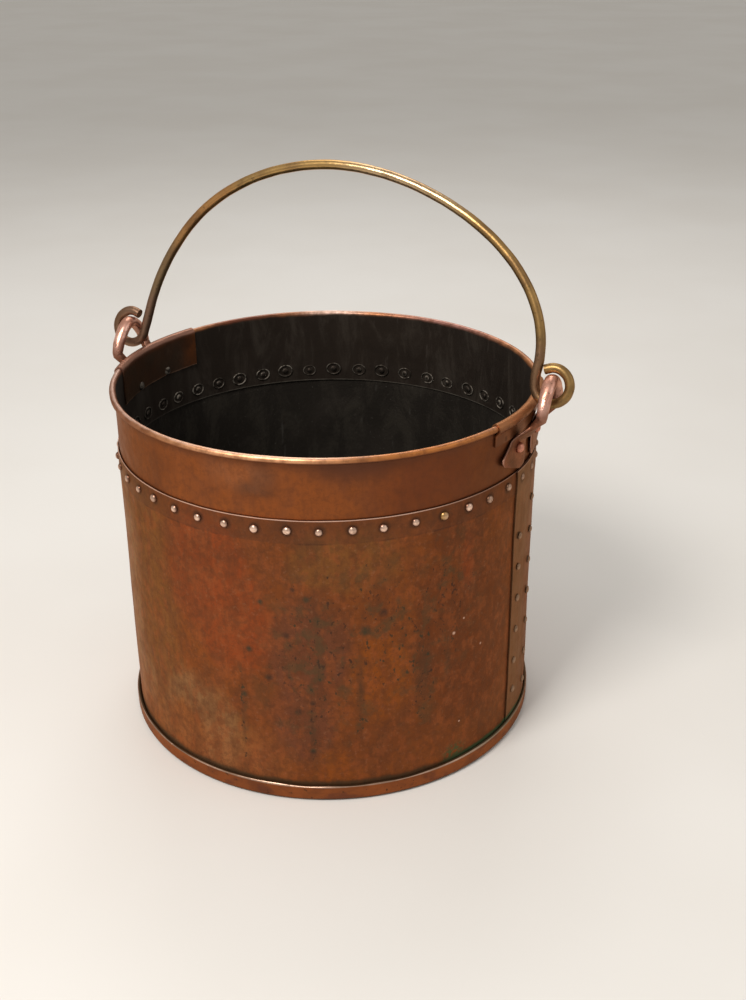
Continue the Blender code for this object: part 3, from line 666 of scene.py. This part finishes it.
def rove_finish():
    """Soot on the tails and roves, rubbed off the roves' rims and partly off the ears' tails."""
    look = Finish("rove_soot", (0.012, 0.0105, 0.009))
    rubbed = look.clouds(230, 4).ramp(0.4, 0.6) * look.clouds(17, 2).ramp(0.4, 0.6, 0.35, 1)
    rim = look.out().ramp(COLLAR_INNER - 0.0018, COLLAR_INNER - 0.0012)
    at_an_ear = look.axis(2).ramp(EAR_RIVET_HEIGHT - 0.005, EAR_RIVET_HEIGHT - 0.004, 0, 0.7)
    look.lay((0.2, 0.178, 0.15), rubbed, highest(rim, at_an_ear))
    return look.finished(0.55, 0.2, look.clouds(500, 4), 0.0002)


class GeometryTree:
    """A node tree for a modifier, whose sizes are named inputs."""

    def __init__(self, name, sizes):
        self.tree = bpy.data.node_groups.new(name, "GeometryNodeTree")
        panel = self.tree.interface
        for way in ("INPUT", "OUTPUT"):
            panel.new_socket("Geometry", in_out=way, socket_type="NodeSocketGeometry")
        self.sizes = {}
        for label, value in sizes.items():
            kind = "NodeSocketInt" if isinstance(value, int) else "NodeSocketFloat"
            made = panel.new_socket(label, in_out="INPUT", socket_type=kind)
            self.sizes[made.identifier] = value
        self.given = self.tree.nodes.new("NodeGroupInput")

    def __getitem__(self, label):
        return Value(self.given.outputs[label])

    def add(self, kind, inputs=(), output=0, **settings):
        return node(self.tree, kind, inputs, output, **settings)

    def index(self):
        return self.add("GeometryNodeInputIndex")

    def random(self, reach, seed, middle=0.0):
        """A number for each point, off the middle by its reach at most, the same on each run."""
        inputs = {2: middle - reach, 3: middle + reach, "Seed": seed}
        return self.add("FunctionNodeRandomValue", inputs, output=1, data_type="FLOAT")

    def position(self):
        here = self.add("GeometryNodeInputPosition")
        return [self.add("ShaderNodeSeparateXYZ", {0: here}, output=axis) for axis in range(3)]

    def point(self, across=0.0, deep=0.0, up=0.0):
        return self.add("ShaderNodeCombineXYZ", {0: across, 1: deep, 2: up})

    def joined(self, *shapes):
        join = self.tree.nodes.new("GeometryNodeJoinGeometry")
        for shape in shapes:
            feed(join, {0: shape})
        return Value(join.outputs[0])

    def made(self, name, geometry, finish, data=None):
        """Ends the tree, runs it on a mesh or curve, and returns the result as a plain mesh."""
        solid = self.add("GeometryNodeRealizeInstances", {0: geometry})
        smooth = self.add("GeometryNodeSetShadeSmooth", {0: solid})
        painted = self.add("GeometryNodeSetMaterial", {0: smooth, "Material": finish})
        feed(self.tree.nodes.new("NodeGroupOutput"), {0: painted})
        source = shown("source", data or bpy.data.meshes.new("source"))
        modifier = source.modifiers.new(name, "NODES")
        modifier.node_group = self.tree
        for identifier, value in self.sizes.items():
            modifier[identifier] = value
        bpy.context.view_layer.update()
        evaluated = source.evaluated_get(bpy.context.evaluated_depsgraph_get())
        mesh = bpy.data.meshes.new_from_object(evaluated)
        source.modifiers.remove(modifier)
        bpy.data.objects.remove(source)
        mesh.name = name
        return shown(name, mesh)


def dome(plan, part, sides, rings):
    """The rivet's head or tail on z = 0: half a ball, its lower half pressed flat."""
    radius, height = plan[f"{part} radius"], plan[f"{part} height"]
    sizes = {"Segments": sides, "Rings": rings, "Radius": radius}
    ball = plan.add("GeometryNodeMeshUVSphere", sizes)
    across, deep, up = plan.position()
    there = plan.point(across, deep, highest(up, 0.0) * height.maths("DIVIDE", radius))
    return plan.add("GeometryNodeSetPosition", {"Geometry": ball, "Position": there})


def rove_rim(plan):
    """A rove's pressed rim: a thin ring on z = 0, drawn out to an ellipse."""
    path, section = (
        plan.add("GeometryNodeCurvePrimitiveCircle", {"Resolution": sides, "Radius": plan[size]})
        for sides, size in ((20, "Rove radius"), (6, "Rove rim"))
    )
    ring = plan.add("GeometryNodeCurveToMesh", {"Curve": path, "Profile Curve": section})
    return plan.add("GeometryNodeTransform", {"Geometry": ring, "Scale": ROVE_STRETCH})


def clenched(plan, head_sides, tail_sides, *roves):
    """A rivet through the wall: its head on z = 0, its tail and any rove at the grip's end."""
    head, tail = dome(plan, "Head", *head_sides), dome(plan, "Tail", *tail_sides)
    inside = plan.add("GeometryNodeTransform", {
        "Geometry": plan.joined(tail, *roves),
        "Translation": plan.point(up=plan["Grip"] * -1.0),
        "Rotation": (math.pi, 0, 0),
    })
    return plan.joined(head, inside)


def standing_on_wall(plan, shape, angle, height, tilt):
    """Puts a shape at each angle and height on the wall, its Z away from the bucket's axis."""
    radius = plan["Wall radius"]
    there = plan.point(angle.maths("COSINE") * radius, angle.maths("SINE") * radius, height)
    points = plan.add("GeometryNodeMeshLine", {"Count": plan["Rivets"]})
    points = plan.add("GeometryNodeSetPosition", {"Geometry": points, "Position": there})
    level = plan.point(*plan.position()[:2])
    level = plan.add("ShaderNodeVectorMath", {0: level}, operation="NORMALIZE")
    lean = plan.point(plan.random(tilt, 5), 0.0, plan.random(tilt, 4))
    aim = plan.add("ShaderNodeVectorMath", {0: level, 1: lean}, operation="ADD")
    turn = plan.add("FunctionNodeAlignRotationToVector", {"Vector": aim}, axis="Z")
    inputs = {"Rotation": turn, "Vector": (0.0, 0.0, 1.0)}
    turn = plan.add("FunctionNodeAlignRotationToVector", inputs, axis="X", pivot_axis="Z")
    size = plan.random(0.08, 6, 1.0)
    inputs = {"Points": points, "Instance": shape, "Rotation": turn, "Scale": size}
    return plan.add("GeometryNodeInstanceOnPoints", inputs)


def collar_rivets(finish):
    """Heads outside, and the rove's rim and the clenched tail inside, all round the wall."""
    plan = GeometryTree("collar_rivet_row", COLLAR_RIVET)
    shape = clenched(plan, HEAD_SIDES, TAIL_SIDES, rove_rim(plan))
    angle = (plan.index() + 0.5).maths("DIVIDE", plan["Rivets"]) * (2 * math.pi)
    angle = angle + plan.random(ROW_SCATTER, 7)
    height = plan["Height"] + plan.random(ROW_SCATTER / 8, 8)
    return plan.made("collar_rivets", standing_on_wall(plan, shape, angle, height, 0.05), finish)


def seam_rivets(name, sizes, finish):
    """One upright row of the seam's heads, up the lap."""
    plan = GeometryTree("seam_rivet_row", SEAM_RIVET | sizes)
    head = dome(plan, "Head", *HEAD_SIDES)
    angle = plan["Azimuth"] + plan.random(0.004, 9)
    height = plan.index() * plan["Pitch"] + plan["Lowest"] + plan.random(0.0012, 3)
    return plan.made(name, standing_on_wall(plan, head, angle, height, 0.05), finish)


def is_inside(face):
    return face.center.xy.length < BODY_RADIUS - SHEET


rove_soot = rove_finish()
row_rivets = collar_rivets(rivet_finish(
    "rivet_copper", (0.95, 0.67, 0.52), (0.15, 0.066, 0.04), 0.34,
    BODY_RADIUS, COLLAR_RIVET["Head height"]
))
seam_rivet_copper = rivet_finish(
    "seam_rivet_copper", (0.52, 0.35, 0.24), (0.2, 0.12, 0.07), 0.42,
    SEAM_SEAT, SEAM_RIVET["Head height"]
)
covered(row_rivets, rove_soot, is_inside)
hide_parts(*[f"collar_rivet_{number:02d}" for number in range(1, COLLAR_RIVETS + 1)])
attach(row_rivets, "bucket")
for place_name, row_sizes in SEAM_ROWS.items():
    seam_row = seam_rivets(f"seam_rivets_{place_name}", row_sizes, seam_rivet_copper)
    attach(seam_row, "bucket")

# Saddle patches
# A strip of sheet folded over the roll at each ear, with a long flange inside and a short one
# outside. It keeps the ear's pull off the roll. The inside flange is cleaner than the soot.
PATCH_HALF_ANGLE = 19.57
PATCH_SHORT_ANGLE = 18.2
PATCH_STEPS = 44
PATCH_INNER_EDGE = 0.274
PATCH_OUTER_EDGE = 0.2895
PATCH_GAP = 0.0003
PATCH_OUTER_FACE = COLLAR_OUTER + PATCH_GAP + SHEET
PATCH_INNER_FACE = COLLAR_INNER - PATCH_GAP - SHEET


def patch_finish():
    """Dull copper, rubbed on its roll and stained on the flange inside, with a worn lower edge."""
    look = Finish("patch_copper", (0.22, 0.072, 0.024))
    up = look.axis(2)
    look.lay((0.12, 0.043, 0.02), look.clouds(26, 5, 0.6, warp=0.6).ramp(0.36, 0.64))
    marks = look.clouds(150, 4).ramp(0.54, 0.7)
    look.lay((0.06, 0.028, 0.018), marks, 0.5)
    left = look.axis(0).ramp(-0.05, 0.05, 1, 0)
    rubbed = look.mixed(left, (0.36, 0.15, 0.062), (0.25, 0.125, 0.088))
    look.lay(rubbed, up.ramp(BEAD_HEIGHT - 0.002, BEAD_HEIGHT + 0.002))
    inside = look.out().ramp(COLLAR_INNER, COLLAR_INNER + 0.001, 1, 0)
    below = up.ramp(BEAD_HEIGHT - 0.004, BEAD_HEIGHT + 0.001, 1, 0)
    bare = look.near(161.5, 0.286, 0.02, 0.4, COLLAR_INNER)
    stained = look.clouds(24, 5, 0.6).ramp(0.3, 0.62, 0.55, 0.95) - bare * 0.45
    look.lay((0.088, 0.057, 0.038), inside, below, stained)
    edge = up.ramp(PATCH_INNER_EDGE + 0.0004, PATCH_INNER_EDGE + 0.0012, 1, 0)
    look.lay((0.3, 0.18, 0.12), edge, 0.7)
    return look.finished(marks.ramp(0, 1, 0.38, 0.55), 0.7, look.clouds(120, 5), 0.00026)


def patch_rings(middle, start, end, seed):
    """The saddle's section, wrapped along the rim from one end to the other."""
    bead = (BEAD_CENTRE, BEAD_HEIGHT)
    outer_fold = arc(bead, BEAD_RADIUS + PATCH_GAP + SHEET, 180, -36, 20)
    inner_fold = arc(bead, BEAD_RADIUS + PATCH_GAP, -36, 180, 20)
    settled = 2 * outer_fold[-1][1] - BEAD_HEIGHT - SHEET
    outer_back, inner_back = PATCH_OUTER_FACE - SHEET, PATCH_INNER_FACE + SHEET
    outline = [
        *line((PATCH_INNER_FACE, PATCH_INNER_EDGE), (PATCH_INNER_FACE, BEAD_HEIGHT), 10),
        *outer_fold,
        *line((PATCH_OUTER_FACE, settled), (PATCH_OUTER_FACE, PATCH_OUTER_EDGE), 5),
        (PATCH_OUTER_FACE, PATCH_OUTER_EDGE),
        *line((outer_back, PATCH_OUTER_EDGE), (outer_back, settled), 5),
        (outer_back, settled),
        *inner_fold,
        *line((inner_back, BEAD_HEIGHT - 0.001), (inner_back, PATCH_INNER_EDGE), 10),
        (inner_back, PATCH_INNER_EDGE),
    ]
    rings = []
    for degrees in spread(middle + start, middle + end, PATCH_STEPS):
        ring = [worked_collar(math.radians(degrees), *spot) for spot in outline]
        for point, (radius, height) in zip(ring, outline):
            if radius < COLLAR_INNER:
                point.z += dent(point, 0.012, 0.0006, seed)
        rings.append(ring)
    return rings


patch_copper = patch_finish()
for side, middle, start in (("right", 0, -PATCH_SHORT_ANGLE), ("left", 180, -PATCH_HALF_ANGLE)):
    rings = patch_rings(middle, start, PATCH_HALF_ANGLE, 20 + middle)
    patch = skinned(f"saddle_{side}", rings, patch_copper)
    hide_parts(f"rim_patch_{side}")
    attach(patch, "bucket")

# Ears
# A forged copper bar bent to an upright loop. Both ends are drawn out into flat fans, which
# lie on the wall and take a rivet each. The loop is rubbed pink by the bail, with a painted
# highlight on its top and painted shade on its inner sides.
EAR_RIVET_AZIMUTH = 7.2
EAR_TOP = 0.3287
EAR_STAND_OFF = 0.0185
EAR_LOOP_HALF_WIDTH = 0.0215
EAR_WAIST = 0.304
EAR_HALF_WIDTH = 0.0048
EAR_HALF_THICKNESS = 0.0056
EAR_WAIST_HALF_WIDTH = 0.0044
EAR_WAIST_HALF_THICKNESS = 0.0042
EAR_SIDES = 20
FORGED_DEPTH = 0.00035
LOOP_STEPS = 20
LOOP_SQUARENESS = 2.2
FOOT_STEPS = 26
FOOT_SQUARENESS = 3.4
FOOT_THICKNESS = 0.0026
FOOT_TOWARDS_MIDDLE = 0.0143
FOOT_AWAY = 0.0267
FOOT_ABOVE_RIVET = 0.019
FOOT_BELOW_RIVET = 0.0198
FOOT_SEAT = COLLAR_OUTER + PATCH_GAP
# The two edges of the foot, from the waist to its end: how far across, up and off the wall they
# are, as shares of the foot's width, its height and the loop's stand-off
FOOT_OUTER_EDGE = (
    (0.33, 1.0, 0.67), (0.43, 0.92, 0.42), (0.53, 0.83, 0.18), (0.66, 0.72, 0.0),
    (0.85, 0.56, 0.0), (1.0, 0.44, 0.0), (0.94, 0.3, 0.0),
)
FOOT_INNER_EDGE = (
    (0.11, 0.98, 0.67), (0.05, 0.85, 0.53), (0.01, 0.7, 0.32), (0.0, 0.56, 0.0),
    (0.0, 0.23, 0.0), (0.05, 0.04, 0.0), (0.24, 0.0, 0.0),
)


def forged_finish():
    """Forged copper: pink at the loop's top, rubbed and with a painted highlight, painted shade on
    its inner sides, brown in the hollows, with bright edges.
    """
    look = Finish("forged_copper", (0.23, 0.085, 0.045))
    cloudy = look.clouds(60, 5, 0.6).ramp(0.36, 0.66)
    look.lay((0.12, 0.047, 0.026), cloudy)
    look.lay((0.42, 0.14, 0.1), look.near(-14, 0.262, 0.012, 1, COLLAR_OUTER), 0.7)
    # Painted highlight: the loop's top is pink, where it is also rubbed by the bail.
    rubbed = look.axis(2).ramp(0.3, 0.32)
    look.lay(look.mixed(cloudy, (0.85, 0.5, 0.4), (0.58, 0.29, 0.21)), rubbed)
    # Painted shade: the sides of the loop's top that face each other are darkened.
    normal = node(look.tree, "ShaderNodeNewGeometry", output=1)
    sideways = node(look.tree, "ShaderNodeSeparateXYZ", {0: normal}, output=1)
    inner_side_shade = sideways * look.axis(1).maths("SIGN")
    look.lay((0.13, 0.055, 0.035), rubbed, inner_side_shade.ramp(-0.75, -0.25, 1, 0), 0.7)
    specks = look.clouds(420, 3).ramp(0.6, 0.68)
    look.lay((0.07, 0.03, 0.02), specks, 0.55)
    pointiness = node(look.tree, "ShaderNodeNewGeometry", output=7)
    look.lay((0.8, 0.46, 0.34), pointiness.ramp(0.53, 0.6), 0.7)
    look.lay((0.05, 0.022, 0.015), pointiness.ramp(0.4, 0.48, 1, 0), 0.7)
    relief = look.clouds(150, 5) - specks * 0.4
    return look.finished(rubbed.ramp(0, 1, 0.42, 0.3), 0.85, relief, 0.0004)


def through(points, share):
    """A point on the smooth curve through a list of points, at a share of its length."""
    last = len(points) - 1
    index = min(int(share * last), last - 1)
    t = share * last - index
    a, b, c, d = (Vector(points[min(max(index + k, 0), last)]) for k in (-1, 0, 1, 2))
    return b + (c - a + (2 * a - 5 * b + 4 * c - d + (3 * (b - c) + d - a) * t) * t) * (t / 2)


def ear_loop():
    """Stations from the loop's top to its waist: both edges, half thickness and squareness."""
    handles = [Vector((COLLAR_OUTER + EAR_STAND_OFF, across, up)) for across, up in (
        (0, EAR_TOP),
        (0.42 * EAR_LOOP_HALF_WIDTH, EAR_TOP),
        (EAR_LOOP_HALF_WIDTH, EAR_TOP - 0.64 * (EAR_TOP - EAR_WAIST)),
        (EAR_LOOP_HALF_WIDTH, EAR_WAIST),
    )]
    stations = []
    for share in spread(0, 1, LOOP_STEPS):
        one, two, three = (a.lerp(b, share) for a, b in zip(handles, handles[1:]))
        behind, ahead = one.lerp(two, share), two.lerp(three, share)
        centre = behind.lerp(ahead, share)
        width = EAR_HALF_WIDTH + (EAR_WAIST_HALF_WIDTH - EAR_HALF_WIDTH) * share**2
        thick = EAR_HALF_THICKNESS + (EAR_WAIST_HALF_THICKNESS - EAR_HALF_THICKNESS) * share**2
        across = (ahead - behind).normalized().cross(Vector((-1, 0, 0))) * width
        stations.append((centre + across, centre - across, thick, LOOP_SQUARENESS))
    return stations


def ear_foot():
    """Stations from the waist to the foot's end, like the loop's."""
    azimuth = math.radians(EAR_RIVET_AZIMUTH)
    out, along = around(azimuth, 1), around(azimuth + math.pi / 2, 1)
    seat = FOOT_SEAT + FOOT_THICKNESS / 2
    stand_off = COLLAR_OUTER + EAR_STAND_OFF - seat
    end = EAR_RIVET_HEIGHT - FOOT_BELOW_RIVET
    stations = []
    for share in spread(0, 1, FOOT_STEPS)[1:]:
        edges, lifts = [], []
        for edge in (FOOT_OUTER_EDGE, FOOT_INNER_EDGE):
            across, up, lift = through(edge, share)
            point = out * (seat + stand_off * max(lift, 0))
            point += along * ((FOOT_TOWARDS_MIDDLE + FOOT_AWAY) * across - FOOT_TOWARDS_MIDDLE)
            point.z = end + (FOOT_BELOW_RIVET + FOOT_ABOVE_RIVET) * up
            edges.append(point)
            lifts.append(lift)
        drawn = max(sum(lifts) / 2, 0) ** 2
        half = FOOT_THICKNESS / 2 + (EAR_WAIST_HALF_THICKNESS - FOOT_THICKNESS / 2) * drawn
        stations.append((*edges, half, FOOT_SQUARENESS))
    return stations


def ear_rings(middle, seed):
    """Rings round the ear, from one foot's end over the loop to the other foot's end."""
    half = ear_loop() + ear_foot()
    flip = Vector((1, -1, 1))
    mirrored = [(outer * flip, inner * flip, *rest) for outer, inner, *rest in half[:0:-1]]
    stations = mirrored + half
    centres = [(station[0] + station[1]) / 2 for station in stations]
    turn = Matrix.Rotation(math.radians(middle), 3, "Z")
    rings = []
    for index, (outer, inner, thickness, square) in enumerate(stations):
        ahead = centres[min(index + 1, len(centres) - 1)]
        behind = centres[max(index - 1, 0)]
        across = (outer - inner) / 2
        through_bar = across.cross(ahead - behind).normalized() * thickness
        ring = []
        for side in range(EAR_SIDES):
            angle = 2 * math.pi * (side + 0.5) / EAR_SIDES
            wave = (math.cos(angle), math.sin(angle))
            wide, thick = (math.copysign(abs(part) ** (2 / square), part) for part in wave)
            offset = across * wide + through_bar * thick
            point = centres[index] + offset
            point += offset.normalized() * dent(point, 0.006, FORGED_DEPTH, seed)
            ring.append(turn @ point)
        rings.append(ring)
    return rings


forged_copper = forged_finish()
for side, middle in (("right", 0), ("left", 180)):
    rings = ear_rings(middle, 31 + middle)
    ear = skinned(f"forged_ear_{side}", rings, forged_copper, sharp_angle=60)
    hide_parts(f"ear_{side}")
    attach(ear, "bucket")

# Rivets of the ears
# One heavier rivet through each foot, the collar and the saddle's inside flange, clenched
# inside without a rove.
EAR_RIVET_SEAT = FOOT_SEAT + FOOT_THICKNESS
EAR_RIVET = {
    "Rivets": 4,
    "Azimuth": math.radians(EAR_RIVET_AZIMUTH),
    "Height": EAR_RIVET_HEIGHT,
    "Wall radius": EAR_RIVET_SEAT,
    "Grip": EAR_RIVET_SEAT - PATCH_INNER_FACE,
    "Head radius": 0.0044,
    "Head height": 0.004,
    "Tail radius": 0.0038,
    "Tail height": 0.0018,
}
EAR_HEAD_SIDES = (24, 16)
EAR_TAIL_SIDES = (20, 12)


def ear_rivet_set(finish):
    """Four rivets through the wall, two to an ear, each with a head outside and a tail inside."""
    plan = GeometryTree("ear_rivet_set", EAR_RIVET)
    shape = clenched(plan, EAR_HEAD_SIDES, EAR_TAIL_SIDES)
    ear = plan.index().maths("DIVIDE", 2.0).maths("FLOOR")
    sign = plan.index().maths("MODULO", 2.0) * 2.0 - 1.0
    angle = ear * math.pi + sign * plan["Azimuth"]
    whole = standing_on_wall(plan, shape, angle, plan["Height"], 0.03)
    return plan.made("ear_rivets", whole, finish)


ear_rivets = ear_rivet_set(rivet_finish(
    "ear_rivet_copper", (0.75, 0.33, 0.23), (0.36, 0.13, 0.08), 0.36,
    EAR_RIVET_SEAT, EAR_RIVET["Head height"]
))
covered(ear_rivets, rove_soot, is_inside)
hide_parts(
    *[f"ear_rivet_{s}_{p}" for s in ("left", "right") for p in ("front", "back")]
)
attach(ear_rivets, "bucket")

# Bail
# A round brass rod, bowed by hand over the bucket, with an eye curled at each end through an
# ear. It is brown with age, olive in places, and polished where it is held.
BAIL_AXIS_HEIGHT = 0.311
BAIL_LEAN = 15
ROD_RADIUS = 0.004
EYE_REACH = 0.1963
EYE_HEIGHT = 0.0129
EYE_RADIUS = 0.0142
EYE_TIP = 122
# The bow as it was bent, across and up from the middle of the line through the eyes
BOW = (
    (0.1834, 0.034), (0.1815, 0.053), (0.1744, 0.0735), (0.1609, 0.095), (0.1433, 0.1135),
    (0.1229, 0.129), (0.1005, 0.1419), (0.0769, 0.1522), (0.0523, 0.1602), (0.027, 0.1655),
    (0.0013, 0.168), (-0.0245, 0.1672), (-0.0499, 0.163), (-0.0747, 0.1556), (-0.0981, 0.1447),
    (-0.1197, 0.1304), (-0.1384, 0.1127), (-0.1536, 0.092), (-0.1658, 0.0694), (-0.1745, 0.0454),
)


def brass_finish():
    """Aged brass: olive-gold at the crown with a pale painted highlight right of it, orange at the
    left shoulder, dull and brown below it.
    """
    look = Finish("aged_brass", (0.36, 0.215, 0.078))
    across, up = look.axis(0), look.axis(2)
    look.lay((0.24, 0.145, 0.056), look.clouds(40, 5, 0.6).ramp(0.36, 0.66))
    crown = up.ramp(0.42, 0.47)
    look.lay((0.55, 0.34, 0.125), crown, 0.6)
    # Painted highlight: a pale pink-cream patch on the crown's right.
    pale_highlight = across.ramp(-0.02, 0.03) * across.ramp(0.09, 0.13, 1, 0)
    look.lay((0.62, 0.45, 0.29), pale_highlight, crown, 0.6)
    shoulder = across.ramp(-0.09, -0.11) * across.ramp(-0.165, -0.15)
    look.lay((0.44, 0.21, 0.075), shoulder, 0.7)
    look.lay((0.22, 0.145, 0.08), across.ramp(-0.145, -0.165), 0.85)
    foot = up.ramp(0.345, 0.365, 1, 0) * across.ramp(0.192, 0.184)
    look.lay((0.2, 0.105, 0.08), foot, 0.6)
    look.lay((0.17, 0.09, 0.045), look.clouds(22, 4).ramp(0.48, 0.62), 0.5)
    look.lay((0.05, 0.035, 0.02), look.clouds(380, 3).ramp(0.6, 0.7), 0.5)
    return look.finished(crown.ramp(0, 1, 0.38, 0.26), 0.85, look.clouds(260, 4), 0.0002)


def bail_curve():
    """A smooth curve from eye tip to eye tip, leaning as the bail does."""
    right = arc((EYE_REACH, EYE_HEIGHT), EYE_RADIUS, 360 + EYE_TIP, 180, 9)
    points = [*right, *BOW, *[(-across, up) for across, up in reversed(right)]]
    curve = bpy.data.curves.new("bail", "CURVE")
    curve.dimensions = "3D"
    curve.resolution_u = 16
    spline = curve.splines.new("BEZIER")
    spline.bezier_points.add(len(points) - 1)
    lean = Matrix.Rotation(math.radians(-BAIL_LEAN), 3, "X")
    for knot, (across, up) in zip(spline.bezier_points, points):
        knot.co = lean @ Vector((across, 0, up)) + Vector((0, 0, BAIL_AXIS_HEIGHT))
        knot.handle_left_type = knot.handle_right_type = "AUTO"
    return curve


def bail_rod(finish):
    """Sweeps a round section along the rod, which swells and thins a little where it was worked."""
    plan = GeometryTree("bail_rod", {"Rod radius": ROD_RADIUS, "Sides": 20, "Spacing": 0.0016})
    inputs = {"Curve": plan["Geometry"], "Length": plan["Spacing"]}
    resampled = plan.add("GeometryNodeResampleCurve", inputs, mode="LENGTH")
    uneven = plan.add("ShaderNodeTexNoise", {"Scale": 70.0, "Detail": 2.0})
    radius = (uneven * 0.1 + 0.95) * plan["Rod radius"]
    section = plan.add("GeometryNodeCurvePrimitiveCircle", {"Resolution": plan["Sides"]})
    inputs = {"Curve": resampled, "Profile Curve": section, "Scale": radius, "Fill Caps": True}
    swept = plan.add("GeometryNodeCurveToMesh", inputs)
    return plan.made("bail_rod", swept, finish, bail_curve())


bail = bail_rod(brass_finish())
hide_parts("bail_handle")
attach(bail, "bail")

# Floor, lamps and camera
# A plain pale floor under soft light, seen from where the photograph was taken.
FLOOR_HALF = 14.0
ROOM_COLOUR = (0.9, 0.88, 0.84, 1)
ROOM_STRENGTH = 0.55
CAMERA_PLACE = (0.44168, -0.90558, 0.67106)
CAMERA_AZIMUTH = 23.78
CAMERA_PITCH = 25.65
CAMERA_ROLL = 0.268
LENS = 45.085


def floor_finish():
    look = Finish("pale_floor", (0.74, 0.71, 0.67))
    look.lay((0.77, 0.745, 0.71), look.clouds(2, 3).ramp(0.3, 0.7))
    return look.finished(0.9, 0, look.clouds(40, 3), 0.0002, DUST_TINT)


def floor_mesh():
    shape = bmesh.new()
    bmesh.ops.create_grid(shape, x_segments=8, y_segments=8, size=FLOOR_HALF)
    mesh = bpy.data.meshes.new("floor")
    shape.to_mesh(mesh)
    shape.free()
    return mesh


floor = shown("floor", floor_mesh())
floor.data.materials.append(floor_finish())


def lamp(name, azimuth, elevation, distance, size, power, colour=(1, 1, 1)):
    """A soft square lamp aimed at the middle of the bucket."""
    light = bpy.data.lights.new(name, "AREA")
    light.size = size
    light.energy = power
    light.color = colour
    made = shown(name, light)
    level = math.radians(elevation)
    away = around(math.radians(azimuth), math.cos(level), math.sin(level))
    made.location = Vector((0, 0, 0.2)) + away * distance
    made.rotation_euler = away.to_track_quat("Z", "Y").to_euler()


lamp("key", -100, 50, 1.7, 0.55, 22, (1, 0.97, 0.93))
lamp("fill", 10, 35, 2.4, 1.4, 4)
lamp("back", 115, 50, 2.2, 1.2, 14)

world = bpy.data.worlds.new("room")
bpy.context.scene.world = world
world.use_nodes = True
feed(world.node_tree.nodes["Background"], {"Color": ROOM_COLOUR, "Strength": ROOM_STRENGTH})

camera = shown("camera", bpy.data.cameras.new("camera"))
camera.data.lens = LENS
camera.location = CAMERA_PLACE
turn = Matrix.Rotation(math.radians(CAMERA_AZIMUTH), 4, "Z")
tilt = Matrix.Rotation(math.radians(90 - CAMERA_PITCH), 4, "X")
roll = Matrix.Rotation(math.radians(-CAMERA_ROLL), 4, "Z")
camera.rotation_euler = (turn @ tilt @ roll).to_euler()
bpy.context.scene.camera = camera
bpy.context.scene.view_settings.view_transform = "Standard"
